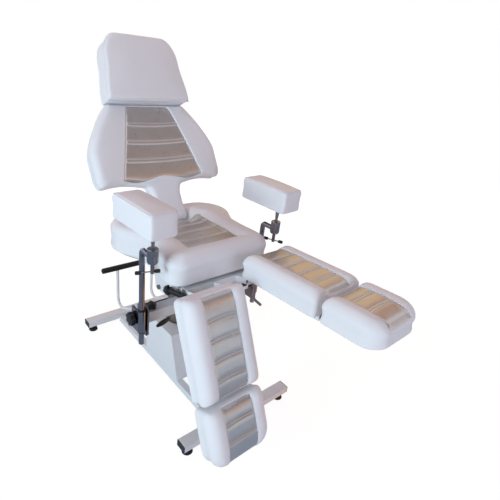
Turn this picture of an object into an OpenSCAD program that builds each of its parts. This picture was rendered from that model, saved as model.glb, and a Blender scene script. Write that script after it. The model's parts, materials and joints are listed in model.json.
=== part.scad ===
// Hydraulic pedicure chair with a split leg rest, in millimetres, +Z up.
// The client faces -Y, and +X is the client's left. Y is counted from the line of the armrest
// posts, and plan_centre_y moves the middle of the chair's plan outline to the origin.

/* [Placing] */
// Distance from the armrest posts to the middle of the plan outline
plan_centre_y = -49.76; // [-120:0.01:40]

/* [Base] */
// Length of the two cross bars without their end caps
base_bar_length = 564; // [500:1:680]
// Depth of a cross bar, front to rear
base_bar_depth = 50; // [40:1:60]
// Height of a cross bar
base_bar_height = 30; // [24:1:34]
// Wall of the base tubes
base_wall = 2; // [1.5:0.1:3]
// Height of the cross bars' top above the floor
base_bar_top = 65; // [58:1:80]
// Middle of the front cross bar
front_bar_y = -300; // [-330:1:-220]
// Middle of the rear cross bar
rear_bar_y = 625; // [590:1:700]
// Side of the square rails between the cross bars
rail_size = 30; // [24:1:36]
// Distance from the middle to a rail's outer face
rail_outer = 113; // [105:1:130]
// Height of the rails' top above the floor
rail_top = 50; // [44:1:58]
// Thickness of an end cap's lid
end_cap_lid = 3; // [2:0.5:6]
// Depth that an end cap's plug reaches into its tube
end_cap_plug = 14; // [8:1:24]
// Diameter of a levelling foot
foot_d = 45; // [34:1:50]
// Height of a levelling foot's pad
foot_pad_h = 14; // [8:1:20]
// Diameter of a levelling foot's threaded stem
foot_stem_d = 10; // [8:1:14]
// Distance from a cross bar's end to its foot
foot_inset = 30; // [26:1:60]

/* [Hydraulic column] */
// Middle of the lifting column
column_y = 180; // [170:1:190]
// Outer diameter of the sleeve that covers the column
sleeve_d = 120; // [112:1:124]
// Wall of the sleeve
sleeve_wall = 2.5; // [1.5:0.5:4]
// Height of the sleeve's lower end
sleeve_bottom = 190; // [170:1:200]
// Diameter of the ram
ram_d = 50; // [40:1:60]
// Height of the ram's lower end
ram_bottom = 162; // [158:1:170]
// Outer diameter of the cylinder
cylinder_d = 96; // [84:1:100]
// Height of the cylinder's top
cylinder_top = 255; // [240:1:262]
// Thickness of the plate that carries the cylinder
pump_plate_h = 8; // [6:1:12]
// Height of the carrying disc's top on the ram
disc_top = 450; // [446:1:456]
// Thickness of the carrying disc
disc_h = 10; // [8:1:14]
// Diameter of the carrying disc
disc_d = 128; // [124:1:136]

/* [Pump housing] */
// Height of the housing's top
housing_top = 265; // [262:1:275]
// Rear face of the housing
housing_rear = 295; // [285:1:300]
// Front edge of the housing's top
housing_front_top = 70; // [60:1:85]
// Front edge of the housing where it meets the rails
housing_front_low = 3; // [-10:1:20]
// Sheet thickness of the housing
housing_wall = 3; // [2:0.5:4]
// Gap round the sleeve where it passes the housing's top
sleeve_gap = 4; // [3:0.5:6]

/* [Pump pedal] */
// Diameter of the pedal's two arms
pedal_arm_d = 14; // [11:1:14]
// Diameter of the pedal's shaft and cross rod
pedal_rod_d = 16; // [15:1:20]
// Place of the inner arm across the chair
pedal_arm_in = 68; // [60:1:80]
// Place of the outer arm across the chair
pedal_arm_out = -128; // [-140:1:-120]
// Distance from the housing's rear face to the pedal shaft
pedal_shaft_back = 22; // [20:1:28]
// Height of the pedal shaft
pedal_shaft_z = 262; // [256:1:268]
// Middle of the pedal's uprights
pedal_upright_y = 580; // [540:1:590]
// Height of the bend below the uprights
pedal_bend_z = 127; // [120:1:150]
// Height of the pedal's cross rod
pedal_top_z = 370; // [340:1:380]
// Bend radius of the pedal's arms
pedal_bend_r = 40; // [30:1:50]
// Diameter of the pedal's grip
pedal_grip_d = 28; // [24:1:34]
// Length of the pedal's grip
pedal_grip_l = 224; // [200:1:230]
// How far the grip stands out past the outer arm
pedal_grip_out = 82; // [60:1:100]

/* [Carriage] */
// Side of the square tube that carries the armrests
cross_tube = 48; // [44:1:52]
// Wall of that tube
cross_tube_wall = 3; // [2:0.5:4]
// Half the length of that tube
cross_tube_half = 262; // [255:1:268]
// Middle of that tube
cross_tube_y = 30; // [28:1:34]
// Height of that tube's top and of the yoke's top
yoke_top = 484; // [482:1:490]
// Diameter of the yoke's hub
hub_d = 96; // [86:1:104]
// Thickness of the carriage's side plates
side_plate = 5; // [4:0.5:8]
// Diameter of the bolts that hold the side plates
carriage_bolt_d = 12; // [10:1:14]
// Height of those bolts
carriage_bolt_z = 466; // [464:1:468]

/* [Seat frame] */
// Width of a seat rail
seat_rail_w = 30; // [24:1:34]
// Height of a seat rail and of the cross members on it
seat_rail_h = 30; // [26:1:32]
// Half the distance over both seat rails
seat_rail_outer = 110.5; // [100:0.5:116]
// Front end of the seat rails
seat_rail_front = -137; // [-142:1:-132]
// Rear end of the seat rails
seat_rail_rear = 335; // [320:1:350]
// Height of the seat board's underside
board_z = 635; // [632:1:640]
// Thickness of the seat board
board_h = 12; // [9:1:18]
// Rear face of the front cross member
leg_beam_rear = -98; // [-104:1:-92]
// How far the front cross member reaches past its outer hinge plates' middles
leg_beam_over = 2.7; // [2.6:0.1:8]

/* [Seat] */
// Front face of the seat cushion
seat_front = -126; // [-130:1:-110]
// Rear end of the seat cushion's lobes
seat_rear = 392; // [380:1:410]
// Half the width of the seat cushion at the front
seat_front_half = 240; // [225:1:248]
// Half the width of the seat cushion beside the armrest posts
seat_waist_half = 231; // [215:1:240]
// Half the width over the rear lobes
seat_lobe_half = 285; // [265:1:300]
// Thickness of the seat cushion at its rim
seat_thick = 116; // [100:1:125]
// Depth of the seat's hollow below its rim
seat_sink = 18; // [8:1:26]
// Half the width of the notch for the backrest's neck
notch_half = 84; // [79:1:90]
// Front of that notch
notch_front = 226; // [222:1:234]

/* [Backrest] */
// Lean of the backrest from upright, degrees
back_lean = 31.9; // [20:0.1:40]
// Backrest's reference line, rearwards
back_y = 348.7; // [340:0.1:360]
// Backrest's reference line, upwards
back_z = 914.4; // [905:0.1:930]
// Thickness of the backrest cushion
back_thick = 75; // [65:1:80]
// Length of the backrest above its reference line
back_top = 330; // [300:1:334]
// Half the width of the backrest's wings
back_half = 304; // [280:1:320]
// Half the width of the backrest's neck
neck_half = 72; // [60:1:74]
// Lower end of the neck, down from the reference line
neck_drop = 200; // [180:1:204]
// How far the neck's face lies behind the backrest's face
neck_back = 14; // [8:1:24]
// Hinge of the backrest, down from the reference line
back_hinge_drop = 288; // [284:1:292]
// Depth of the backrest's spine
spine_depth = 20; // [16:1:24]
// Width of the backrest's spine
spine_w = 50; // [40:1:56]
// Diameter of the backrest's hinge pin
back_pin_d = 14; // [12:1:16]

/* [Headrest] */
// Lean of the head cushion from upright, degrees
head_lean = 27.6; // [20:0.1:34]
// Lower front edge of the head cushion, rearwards
head_y = 486; // [480:1:492]
// Lower front edge of the head cushion, upwards
head_z = 1231.3; // [1225:0.1:1240]
// Length of the head cushion
head_length = 246; // [200:1:270]
// Thickness of the head cushion
head_thick = 100; // [85:1:110]
// Half the width of the head cushion's lower edge
head_half = 190; // [170:1:205]
// Half the width of the head cushion's top
head_top_half = 105; // [95:1:130]
// Diameter of the headrest's rods
head_rod_d = 12; // [10:1:14]
// Place of a headrest rod from the middle
head_rod_x = 70; // [60:1:80]

/* [Leg rests] */
// Hinge line of both leg rests, forwards
leg_hinge_y = -199; // [-205:1:-196]
// Hinge line of both leg rests, upwards
leg_hinge_z = 641.5; // [639:0.5:644]
// Angle of the left leg rest below level
leg_angle_left = -4; // [-8:0.5:20]
// Angle of the right leg rest below level
leg_angle_right = 65.2; // [40:0.1:68]
// Gap between the two leg rests
leg_gap = 68.6; // [60:0.1:80]
// Width of a leg cushion
leg_w = 260; // [240:1:270]
// Thickness of the leg cushions
leg_thick = 92; // [80:1:96]
// Height of a leg cushion's underside over the hinge line
leg_rise = 13.6; // [13.6:0.1:16]
// How far a leg cushion reaches behind the hinge line
leg_back = 27.5; // [20:0.5:30]
// Length of a leg cushion
leg_length = 378; // [350:1:385]
// Gap between a leg cushion and its foot cushion
foot_gap = 16; // [10:1:24]
// Length of a foot cushion
foot_length = 225; // [200:1:235]
// Width of the silver insert in the leg and foot cushions
leg_insert_w = 135; // [110:1:160]
// Side of the leg frame's square tubes
leg_tube = 26; // [24:1:26]
// Half the distance between those tubes' middles
leg_tube_half = 69; // [62:1:84]
// Diameter of the rods that carry a foot cushion
foot_rod_d = 16; // [12:1:18]
// Diameter of the leg hinge pins
leg_pin_d = 12; // [10:1:14]
// Thickness of the leg hinge plates
hinge_plate = 5; // [4:0.5:6]
// How far a leg lock handle stands outside the middle of its leg rest
lock_out = 35.7; // [28:0.1:40]
// Place of a leg lock handle, forwards
lock_y = -30; // [-34:1:-20]
// Diameter of a leg lock handle's grip
lock_grip_d = 22; // [18:1:24]
// Rise of the leg lock handles' grips towards their ends, degrees
lock_rise = 15; // [0:1:20]
// Diameter of the bent release levers
release_d = 11; // [9:1:12]
// Diameter of the pins that the release levers turn on
release_pin_d = 8; // [6:1:9]

/* [Armrests] */
// How far an armrest post's middle stands out from the seat's side
post_gap = 56.3; // [54:0.1:60]
// Diameter of an armrest post
post_d = 22; // [20:1:24]
// Lower end of an armrest post
post_bottom = 353; // [340:1:370]
// Height of the armrest post's level arm
post_arm_z = 772; // [765:1:780]
// How far the cup stands ahead of the post
cup_ahead = 75; // [65:1:85]
// Diameter of the cup
cup_d = 41; // [36:1:44]
// Height of the cup
cup_h = 58; // [50:1:64]
// Wall of the plastic bush round a post
bush_wall = 2; // [1.5:0.5:3]
// Height of an arm pad's underside
arm_pad_z = 867.5; // [855:0.5:880]
// Length of an arm pad
arm_pad_l = 250; // [220:1:270]
// Width of an arm pad
arm_pad_w = 112; // [95:1:116]
// Thickness of an arm pad
arm_pad_h = 100; // [80:1:110]
// Turn of the left arm pad, degrees
arm_yaw_left = 3.7; // [0:0.1:8]
// Turn of the right arm pad, degrees
arm_yaw_right = 3.7; // [0:0.1:5]
// Diameter of the knob that clamps a post
post_knob_d = 56; // [46:1:62]
// Diameter of the knob that clamps a bracket
slide_knob_d = 44; // [36:1:48]
// Diameter of the clamping screws
screw_d = 8; // [6:1:9]
// Length of the cross bar on the screw below a cup
tee_length = 88; // [70:1:94]
// Diameter of that bar
tee_d = 5; // [4:0.5:6]
// Turn of the left cross bar, degrees
tee_turn_left = -63; // [-90:1:0]
// Turn of the right cross bar, degrees
tee_turn_right = -16; // [-90:1:0]

/* [Fits] */
// Radial clearance of a shaft in its bore
running = 0.05; // [0.03:0.01:0.08]
// Gap between faces that move past each other
face_gap = 0.4; // [0.3:0.1:0.6]

/* [Hidden] */
$fn = 64;
LEFT = 1;
RIGHT = -1;
beyond = 1;
rod_lap = 0.5;
bend_swell = 0.1;
white_paint = "#eceff1";
white_vinyl = "#f2f2f4";
bare_steel = "#9a938c";
chrome_metal = "#c4c6c8";
black_plastic = "#1b1c1e";
black_rubber = "#141414";
grey_board = "#8f959b";

base_bar_z = base_bar_top - base_bar_height / 2;
rail_x = rail_outer - rail_size / 2;
rail_z = rail_top - rail_size / 2;
foot_x = base_bar_length / 2 - foot_inset;
housing_slope = atan2(housing_top - rail_top, housing_front_top - housing_front_low);
disc_bottom = disc_top - disc_h;
pump_plate_top = rail_top + pump_plate_h;
pump_plate_half = rail_outer - housing_wall - face_gap;
pedal_shaft_y = housing_rear + pedal_shaft_back;
lug_x = 50;
lug_w = 6;
grip_end = 6;
hub_bottom = disc_top + face_gap;
hub_collar_h = 6;
cross_tube_z = yoke_top - cross_tube / 2;
cross_tube_rear = cross_tube_y + cross_tube / 2;
yoke_front_half = 38;
yoke_rear_half = 35;
carriage_nut_h = 8;
rail_cap = 3;
member_z = board_z - seat_rail_h;
seat_rail_z = member_z - seat_rail_h;
seat_rail_x = seat_rail_outer - seat_rail_w / 2;
seat_base = board_z + board_h;
seat_top = seat_base + seat_thick;
leg_beam_front = leg_beam_rear - seat_rail_h;
back_bar_rear = 245;
back_hinge_r = 15;
back_hinge_depth = back_thick + spine_depth;
back_hinge = back_point(back_hinge_depth, -back_hinge_drop);
leg_middle = (leg_gap + leg_w) / 2;
leg_plates = [leg_middle - 110, leg_middle + 18];
leg_beam_half = leg_plates[1] + leg_beam_over;
lock_x = leg_middle + lock_out;
leg_front = leg_back - leg_length;
foot_rear = leg_front - foot_gap;
foot_front = foot_rear - foot_length;
leg_tube_top = leg_rise;
leg_tube_z = leg_tube_top - leg_tube / 2;
knuckle_d = leg_tube;
knuckle_gap = hinge_plate / 2 + face_gap;
knuckle_runs = [[leg_plates[0] + knuckle_gap - leg_middle, leg_plates[1] - knuckle_gap - leg_middle],
    [leg_plates[1] + knuckle_gap - leg_middle, leg_tube_half + leg_tube / 2]];
release_hub_w = release_d + 1;
release_boss = 4;
release_y = -28;
release_x = leg_tube_half + leg_tube / 2 + release_boss + face_gap + release_hub_w / 2;
lock_z = seat_rail_z + seat_rail_h / 2;
lock_shaft_d = 14;
slide_bar = cross_tube - 2 * cross_tube_wall - 0.6;
post_x = seat_front_half + post_gap;
clamp_r = post_d / 2 + bush_wall + 3.7;
clamp_slot = 16;
clamp_reach = 50;
bracket_face = post_x - clamp_r + face_gap;
bracket_plate = 6;
clamp_low = 414;
clamp_high = 510;
clamp_out = post_x + clamp_r;
clamp_screw_y = 32;
clamp_screw_z = (clamp_low + clamp_high) / 2;
post_knob_h = 16;
post_knob_hub = 4;
slide_bar_from = 120;
slide_boss_h = 3;
slide_knob_x = 238;
cup_low = post_arm_z - 20;
cup_high = cup_low + cup_h;
cup_floor = cup_low + 20;
stem_d = 16;

// ---------- helpers ----------

// Gives a piece its colour and moves it from the posts' line to the chair's own origin
module finished(tone) color(tone) translate([0, -plan_centre_y, 0]) children();

// Radius of the bore that a shaft of diameter d runs in
function bore_r(d) = d / 2 + running;

// Straight mix of a and b
function mix(a, b, t) = a + (b - a) * t;

// Soft step from 0 to 1
function soft(t) = let (c = min(max(t, 0), 1)) c * c * (3 - 2 * c);

// Quarter round: 0 on an edge, 1 once the distance d passes reach
function eased(d, reach) = d >= reach ? 1 : sqrt(1 - pow(1 - max(d, 0) / reach, 2));

// Place in [y, z] of a point that lies depth behind the backrest's face and rise along it
function back_point(depth, rise) = [
    back_y + depth * cos(back_lean) + rise * sin(back_lean),
    back_z - depth * sin(back_lean) + rise * cos(back_lean)];

// Stands its children in the backrest's own frame: +Z up along it, +Y into it
module on_back() translate([0, back_y, back_z]) rotate([-back_lean, 0, 0]) children();

// Stands its children in the head cushion's own frame
module on_head() translate([0, head_y, head_z]) rotate([-head_lean, 0, 0]) children();

// Puts its children, drawn with the hinge line at the origin, on a leg rest
module on_leg(side) translate([0, leg_hinge_y, leg_hinge_z])
    rotate([side == LEFT ? leg_angle_left : leg_angle_right, 0, 0]) children();

// Puts its children, drawn about the post's axis, on one side of the chair
module on_arm(side) translate([side * post_x, 0, 0]) children();

// Turns the Z axis to point along +X
module along_x() rotate([0, 90, 0]) children();

// Turns the Z axis to point along +Y
module along_y() rotate([-90, 0, 0]) children();

// Square or flat tube centred on the origin, open along X
module tube_x(length, depth, height, wall) difference() {
    cube([length, depth, height], center = true);
    cube([length + beyond, depth - 2 * wall, height - 2 * wall], center = true);
}

// The same tube, open along Y
module tube_y(length, width, height, wall) difference() {
    cube([width, length, height], center = true);
    cube([width - 2 * wall, length + beyond, height - 2 * wall], center = true);
}

// Bar with chamfered ends, standing on the origin
module chamfered_bar(d, length, chamfer) rotate_extrude() polygon([[0, 0],
    [d / 2 - chamfer, 0], [d / 2, chamfer], [d / 2, length - chamfer],
    [d / 2 - chamfer, length], [0, length]]);

// Unit vector from a to b
function heading(a, b) = (b - a) / norm(b - a);

// Angle through which a path turns at b
function turn_at(a, b, c) = acos(heading(a, b) * heading(b, c));

// Length that a bend of radius r takes from each leg of the corner i
function bend_cut(path, i, r) = i == 0 || i == len(path) - 1 ? 0
    : r * tan(turn_at(path[i - 1], path[i], path[i + 1]) / 2);

// Round rod along a path of [y, z] points, with every corner bent to radius r. The straights run
// a little way into the bends, which are a hair thicker, so that they join as one solid.
module bent_rod(path, r, d) rotate([90, 0, 90]) {
    last = len(path) - 1;
    for (i = [0:last - 1]) {
        way = heading(path[i], path[i + 1]);
        start = path[i] + way * (bend_cut(path, i, r) - (i == 0 ? 0 : rod_lap));
        finish = path[i + 1] - way * (bend_cut(path, i + 1, r) - (i + 1 == last ? 0 : rod_lap));
        translate([start.x, start.y, 0]) rotate([0, 0, atan2(way.y, way.x)])
            along_x() cylinder(h = norm(finish - start), d = d);
    }
    for (i = [1:last - 1]) {
        into = heading(path[i - 1], path[i]);
        out = heading(path[i], path[i + 1]);
        hand = sign(cross([into.x, into.y, 0], [out.x, out.y, 0]).z);
        cut = bend_cut(path, i, r);
        middle = path[i] - into * cut + hand * r * [-into.y, into.x];
        first = hand > 0 ? path[i] - into * cut : path[i] + out * cut;
        translate([middle.x, middle.y, 0])
            rotate([0, 0, atan2(first.y - middle.y, first.x - middle.x)])
            rotate_extrude(angle = turn_at(path[i - 1], path[i], path[i + 1]))
            translate([r, 0]) circle(d = d + 2 * bend_swell);
    }
}

// Lobed knob head with a hub, standing on the origin
module star_knob(d, height, lobes, hub_h) {
    translate([0, 0, hub_h]) linear_extrude(height) {
        circle(d = 0.78 * d);
        for (i = [0:lobes - 1]) rotate(i * 360 / lobes)
            translate([0.36 * d, 0]) circle(d = 0.28 * d);
    }
    cylinder(h = hub_h + height / 2, d = 0.42 * d);
    translate([0, 0, hub_h + height]) cylinder(h = 2, d1 = 0.7 * d, d2 = 0.5 * d);
}

// ---------- cushions ----------

// Half a cushion's section at one row, from its underside up and in to the insert
function half_section(w, base, top, round_r, x_in, sink, groove) = let (
        r = min(round_r, 0.45 * (top - base)),
        flat_top = w - 0.66 * r,
        seam_x = min(x_in, 0.8 * flat_top)
    ) [
        [0.965 * w, base],
        [0.95 * w, mix(base, top, 0.34)],
        [w, top - r],
        [w - 0.18 * r, top - 0.43 * r],
        [flat_top, top - 0.06 * r],
        [(flat_top + seam_x) / 2, top + 0.02 * w],
        [seam_x + 6, top - 0.3 * sink],
        [seam_x - 3, top - sink - 2 * sign(sink)],
        [0.5 * seam_x, top - sink - groove]];

// Closed section of a cushion: up the right side, over the top and down the left side
function section(half, middle_h) = concat(half, [[0, middle_h]],
    [for (i = [len(half) - 1:-1:0]) [-half[i].x, half[i].y]]);

// Rows along a cushion: close together at its ends and at its seams
function cushion_rows(from, to, end_r, seams, gap) = let (n = len(seams)) concat(
    [for (t = [0, 0.06, 0.25, 0.6, 1]) from + t * end_r],
    n == 0 ? [for (t = [0.2, 0.4, 0.6, 0.8]) mix(from + end_r, to - end_r, t)]
        : [for (i = [0:n - 1]) each [
            (seams[i] + (i == 0 ? from + end_r : seams[i - 1])) / 2,
            seams[i] - 2 * gap, seams[i] - gap, seams[i] + gap, seams[i] + 2 * gap]],
    n == 0 ? [] : [(seams[n - 1] + to - end_r) / 2],
    [for (t = [1, 0.6, 0.25, 0.06, 0]) to - t * end_r]);

// Depth of the stitched grooves at v
function groove_at(v, seams, gap, depth) =
    depth * max(concat([0], [for (s = seams) abs(v - s) < 1.5 * gap ? 1 : 0]));

// Skins a cushion over its rows. The shape is a list: width(v), top(v), insert half-width(v),
// span of the insert, its sink, its seams, their half gap and depth, and the edge radius.
// hollow(x) lifts the lower edge at x, less and less towards the other end.
module cushion(from, to, end_r, shape, hollow = function(x) 0) {
    seams = shape[5];
    gap = shape[6];
    rows = cushion_rows(from, to, end_r, seams, gap);
    rings = [for (v = rows) let (
        ends = min(eased(v - from, end_r), eased(to - v, end_r)),
        w = shape[0](v) - 0.3 * end_r * (1 - ends),
        top = shape[1](v) * mix(0.7, 1, ends),
        sunk = shape[4] * soft((v - shape[3][0]) / 12 + 0.5) * soft((shape[3][1] - v) / 12 + 0.5),
        groove = groove_at(v, seams, gap, shape[7]),
        half = half_section(w, 0, top, shape[8], shape[2](v), sunk, groove)
    ) [for (p = section(half, top - sunk - groove + (shape[4] > 0 ? 0 : 0.03 * w)))
        [p.x, v + hollow(abs(p.x)) * (to - v) / (to - from), p.y]]];
    m = len(rings[0]);
    n = len(rings);
    points = concat([for (ring = rings) each ring],
        [[0, rows[0], 0.5 * rings[0][2].z], [0, rows[n - 1], 0.5 * rings[n - 1][2].z]]);
    faces = concat(
        [for (i = [0:n - 2], j = [0:m - 1]) let (a = i * m + j, b = i * m + (j + 1) % m)
            each [[a, b + m, a + m], [a, b, b + m]]],
        [for (j = [0:m - 1]) [n * m, (j + 1) % m, j]],
        [for (j = [0:m - 1]) [n * m + 1, (n - 1) * m + j, (n - 1) * m + (j + 1) % m]]);
    polyhedron(points, faces);
}

// Places of the seams between equal panels
function seams_of(from, to, panels) = [for (i = [1:panels - 1]) mix(from, to, i / panels)];

// ---------- base ----------

// Cross bar at y, with holes below for the feet's stems
module base_bar(y) translate([0, y, base_bar_z]) difference() {
    tube_x(base_bar_length, base_bar_depth, base_bar_height, base_wall);
    for (side = [LEFT, RIGHT]) translate([side * foot_x, 0, -base_bar_height])
        cylinder(h = base_bar_height, r = foot_stem_d / 2 + 0.2);
}

module base_front_bar() finished(white_paint) base_bar(front_bar_y);

module base_rear_bar() finished(white_paint) base_bar(rear_bar_y);

module base_rails() finished(white_paint) {
    front = front_bar_y + base_bar_depth / 2;
    rear = rear_bar_y - base_bar_depth / 2;
    for (side = [LEFT, RIGHT]) translate([side * rail_x, (front + rear) / 2, rail_z])
        tube_y(rear - front, rail_size, rail_size, base_wall);
}

module base_end_caps() finished(black_plastic)
    for (side = [LEFT, RIGHT], y = [front_bar_y, rear_bar_y])
        translate([side * base_bar_length / 2, y, base_bar_z]) {
            translate([side * end_cap_lid / 2, 0, 0])
                cube([end_cap_lid, base_bar_depth, base_bar_height], center = true);
            translate([-side * end_cap_plug / 2, 0, 0]) cube([end_cap_plug,
                base_bar_depth - 2 * base_wall, base_bar_height - 2 * base_wall], center = true);
        }

module levelling_feet() finished(black_rubber)
    for (side = [LEFT, RIGHT], y = [front_bar_y, rear_bar_y]) translate([side * foot_x, y, 0]) {
        bar_bottom = base_bar_top - base_bar_height;
        rotate_extrude() polygon([[0, 0], [foot_d / 2 - 2, 0], [foot_d / 2, 3],
            [foot_d / 2 - 3, foot_pad_h], [foot_stem_d, foot_pad_h + 4], [foot_stem_d, bar_bottom],
            [foot_stem_d / 2, bar_bottom], [foot_stem_d / 2, base_bar_top - base_wall - 6],
            [0, base_bar_top - base_wall - 6]]);
    }

// ---------- pump and column ----------

// Side outline of the housing as [y, z], drawn in by the sheet thickness inset
function housing_side(inset) = [
    [housing_front_low + inset / sin(housing_slope), rail_top - (inset > 0 ? beyond : 0)],
    [housing_rear - inset, rail_top - (inset > 0 ? beyond : 0)],
    [housing_rear - inset, housing_top - inset],
    [housing_front_top + inset * tan(housing_slope / 2), housing_top - inset]];

// Extrudes an outline in [y, z] across the chair, centred on the middle
module across(width) rotate([90, 0, 90]) translate([0, 0, -width / 2])
    linear_extrude(width) children();

module pump_housing() finished(white_paint) {
    difference() {
        across(2 * rail_outer) polygon(housing_side(0));
        across(2 * (rail_outer - housing_wall)) polygon(housing_side(housing_wall));
        translate([0, column_y, housing_top - 2 * housing_wall])
            cylinder(h = 3 * housing_wall, r = sleeve_d / 2 + sleeve_gap);
    }
    for (side = [LEFT, RIGHT]) translate([side * lug_x, 0, 0]) difference() {
        across(lug_w) union() {
            translate([housing_rear, pedal_shaft_z - 24]) square([pedal_shaft_back, 24 + 14]);
            translate([pedal_shaft_y, pedal_shaft_z]) circle(r = 14);
        }
        translate([-lug_w, pedal_shaft_y, pedal_shaft_z])
            along_x() cylinder(h = 2 * lug_w, r = bore_r(pedal_rod_d));
    }
}

module pump_cylinder() finished(bare_steel) difference() {
    union() {
        translate([-pump_plate_half, column_y - 80, rail_top])
            cube([2 * pump_plate_half, 160, pump_plate_h]);
        translate([0, column_y, pump_plate_top]) rotate_extrude() polygon([[0, 0],
            [cylinder_d / 2 + 8, 0], [cylinder_d / 2 + 8, 8], [cylinder_d / 2, 12],
            [cylinder_d / 2, cylinder_top - pump_plate_top - 22],
            [cylinder_d / 2 - 8, cylinder_top - pump_plate_top - 18],
            [cylinder_d / 2 - 8, cylinder_top - pump_plate_top], [0, cylinder_top - pump_plate_top]]);
    }
    translate([0, column_y, pump_plate_top + 6])
        cylinder(h = cylinder_top, r = bore_r(ram_d));
}

module lift_ram() finished(bare_steel) translate([0, column_y, 0]) {
    ram_top = yoke_top + hub_collar_h + face_gap;
    rotate_extrude() polygon([[0, ram_bottom], [ram_d / 2 - 3, ram_bottom],
        [ram_d / 2, ram_bottom + 3], [ram_d / 2, disc_bottom], [disc_d / 2, disc_bottom],
        [disc_d / 2, disc_top], [ram_d / 2, disc_top], [ram_d / 2, ram_top], [0, ram_top]]);
    // Ring that keeps the yoke on the ram
    translate([0, 0, yoke_top + face_gap]) difference() {
        cylinder(h = hub_collar_h, d = ram_d + 18);
        translate([0, 0, -beyond]) cylinder(h = hub_collar_h + 2 * beyond, d = ram_d);
    }
}

module column_sleeve() finished(bare_steel) translate([0, column_y, sleeve_bottom]) difference() {
    cylinder(h = disc_bottom - sleeve_bottom, d = sleeve_d);
    translate([0, 0, -beyond])
        cylinder(h = disc_bottom - sleeve_bottom + 2 * beyond, d = sleeve_d - 2 * sleeve_wall);
}

// ---------- pump pedal ----------

module pedal_frame() finished(white_paint) {
    for (x = [pedal_arm_in, pedal_arm_out]) translate([x, 0, 0]) bent_rod([
        [pedal_shaft_y, pedal_shaft_z], [pedal_upright_y, pedal_bend_z],
        [pedal_upright_y, pedal_top_z]], pedal_bend_r, pedal_arm_d);
    translate([pedal_arm_out - pedal_rod_d, pedal_shaft_y, pedal_shaft_z]) along_x()
        cylinder(h = pedal_arm_in - pedal_arm_out + 2 * pedal_rod_d, d = pedal_rod_d);
    translate([pedal_arm_out - pedal_grip_out + grip_end, pedal_upright_y, pedal_top_z]) along_x()
        cylinder(h = pedal_arm_in + pedal_rod_d - pedal_arm_out + pedal_grip_out - grip_end,
            d = pedal_rod_d);
}

module pedal_block() finished(black_plastic) translate([0, pedal_shaft_y, pedal_shaft_z])
    difference() {
        half = lug_x - lug_w / 2 - 1;
        across(2 * half) union() {
            translate([-17, -13]) square([34, 28]);
            translate([0, -13]) circle(d = 20);
        }
        translate([-half - beyond, 0, 0])
            along_x() cylinder(h = 2 * (half + beyond), r = bore_r(pedal_rod_d));
    }

module pedal_grip() finished(black_rubber)
    translate([pedal_arm_out - pedal_grip_out, pedal_upright_y, pedal_top_z]) difference() {
        along_x() chamfered_bar(pedal_grip_d, pedal_grip_l, 4);
        translate([grip_end - running, 0, 0]) along_x()
            cylinder(h = pedal_grip_l, r = bore_r(pedal_rod_d));
        translate([pedal_grip_out, 0, -pedal_grip_d])
            cylinder(h = pedal_grip_d, r = pedal_arm_d / 2 + face_gap);
    }

// ---------- carriage ----------

module carriage_yoke() finished(white_paint) difference() {
    union() {
        height = yoke_top - hub_bottom;
        translate([0, column_y, hub_bottom]) cylinder(h = height, d = hub_d);
        translate([-seat_rail_outer, column_y - yoke_rear_half, hub_bottom])
            cube([2 * seat_rail_outer, 2 * yoke_rear_half, height]);
        translate([-yoke_front_half, cross_tube_rear, hub_bottom])
            cube([2 * yoke_front_half, column_y - cross_tube_rear, height]);
        // Boss that hangs down to carry the swivel lock lever
        translate([-yoke_front_half + 12, 84, 398]) cylinder(h = yoke_top - 398 - 4, d = 20);
    }
    translate([0, column_y, hub_bottom - beyond])
        cylinder(h = yoke_top - hub_bottom + 2 * beyond, r = bore_r(ram_d));
    for (side = [LEFT, RIGHT]) translate([side * seat_rail_outer, column_y, carriage_bolt_z])
        along_x() cylinder(h = 40, r = carriage_bolt_d / 2, center = true);
}

// Side outline of the carriage's plates as [y, z]
plate_outline = [[-10, board_z - seat_rail_h], [-10, seat_rail_z], [88, 502], [146, 450],
    [212, 450], [222, 500], [seat_rail_rear - 5, seat_rail_z], [seat_rail_rear - 5, member_z]];

module carriage_side_plates() finished(white_paint)
    for (side = [LEFT, RIGHT]) translate([side * (seat_rail_outer + side_plate / 2), 0, 0])
        difference() {
            across(side_plate) polygon(plate_outline);
            translate([0, column_y, carriage_bolt_z]) along_x()
                cylinder(h = 2 * side_plate, r = carriage_bolt_d / 2, center = true);
        }

module carriage_bolts() finished(bare_steel)
    for (side = [LEFT, RIGHT]) translate([0, column_y, carriage_bolt_z]) mirror([side == LEFT ? 0 : 1, 0, 0])
        translate([seat_rail_outer - 19, 0, 0]) along_x() {
            cylinder(h = 19 + side_plate, d = carriage_bolt_d);
            translate([0, 0, 19 + side_plate]) cylinder(h = carriage_nut_h, d = 2 * carriage_bolt_d,
                $fn = 6);
        }

module armrest_cross_tube() finished(white_paint) difference() {
    union() {
        translate([0, cross_tube_y, cross_tube_z])
            tube_x(2 * cross_tube_half, cross_tube, cross_tube, cross_tube_wall);
        for (side = [LEFT, RIGHT]) translate([side * slide_knob_x, cross_tube_y, yoke_top])
            cylinder(h = slide_boss_h, d = 20);
    }
    for (side = [LEFT, RIGHT])
        translate([side * slide_knob_x, cross_tube_y, yoke_top - cross_tube_wall - beyond])
            cylinder(h = cross_tube_wall + slide_boss_h + 2 * beyond, r = bore_r(screw_d));
}

// ---------- swivel lock ----------

lock_lever_z = 385;
lock_lever_start = [-yoke_front_half + 12, 84];
lock_lever_end = [-138, 50];

module swivel_lock_lever() finished(chrome_metal) {
    way = lock_lever_end - lock_lever_start;
    translate([lock_lever_start.x, lock_lever_start.y, lock_lever_z - 12])
        cylinder(h = 398 - face_gap - lock_lever_z + 12, d = 20);
    translate([lock_lever_start.x, lock_lever_start.y, lock_lever_z])
        rotate([0, 0, atan2(way.y, way.x)]) along_x() cylinder(h = norm(way) + 40, d = 8);
}

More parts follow.
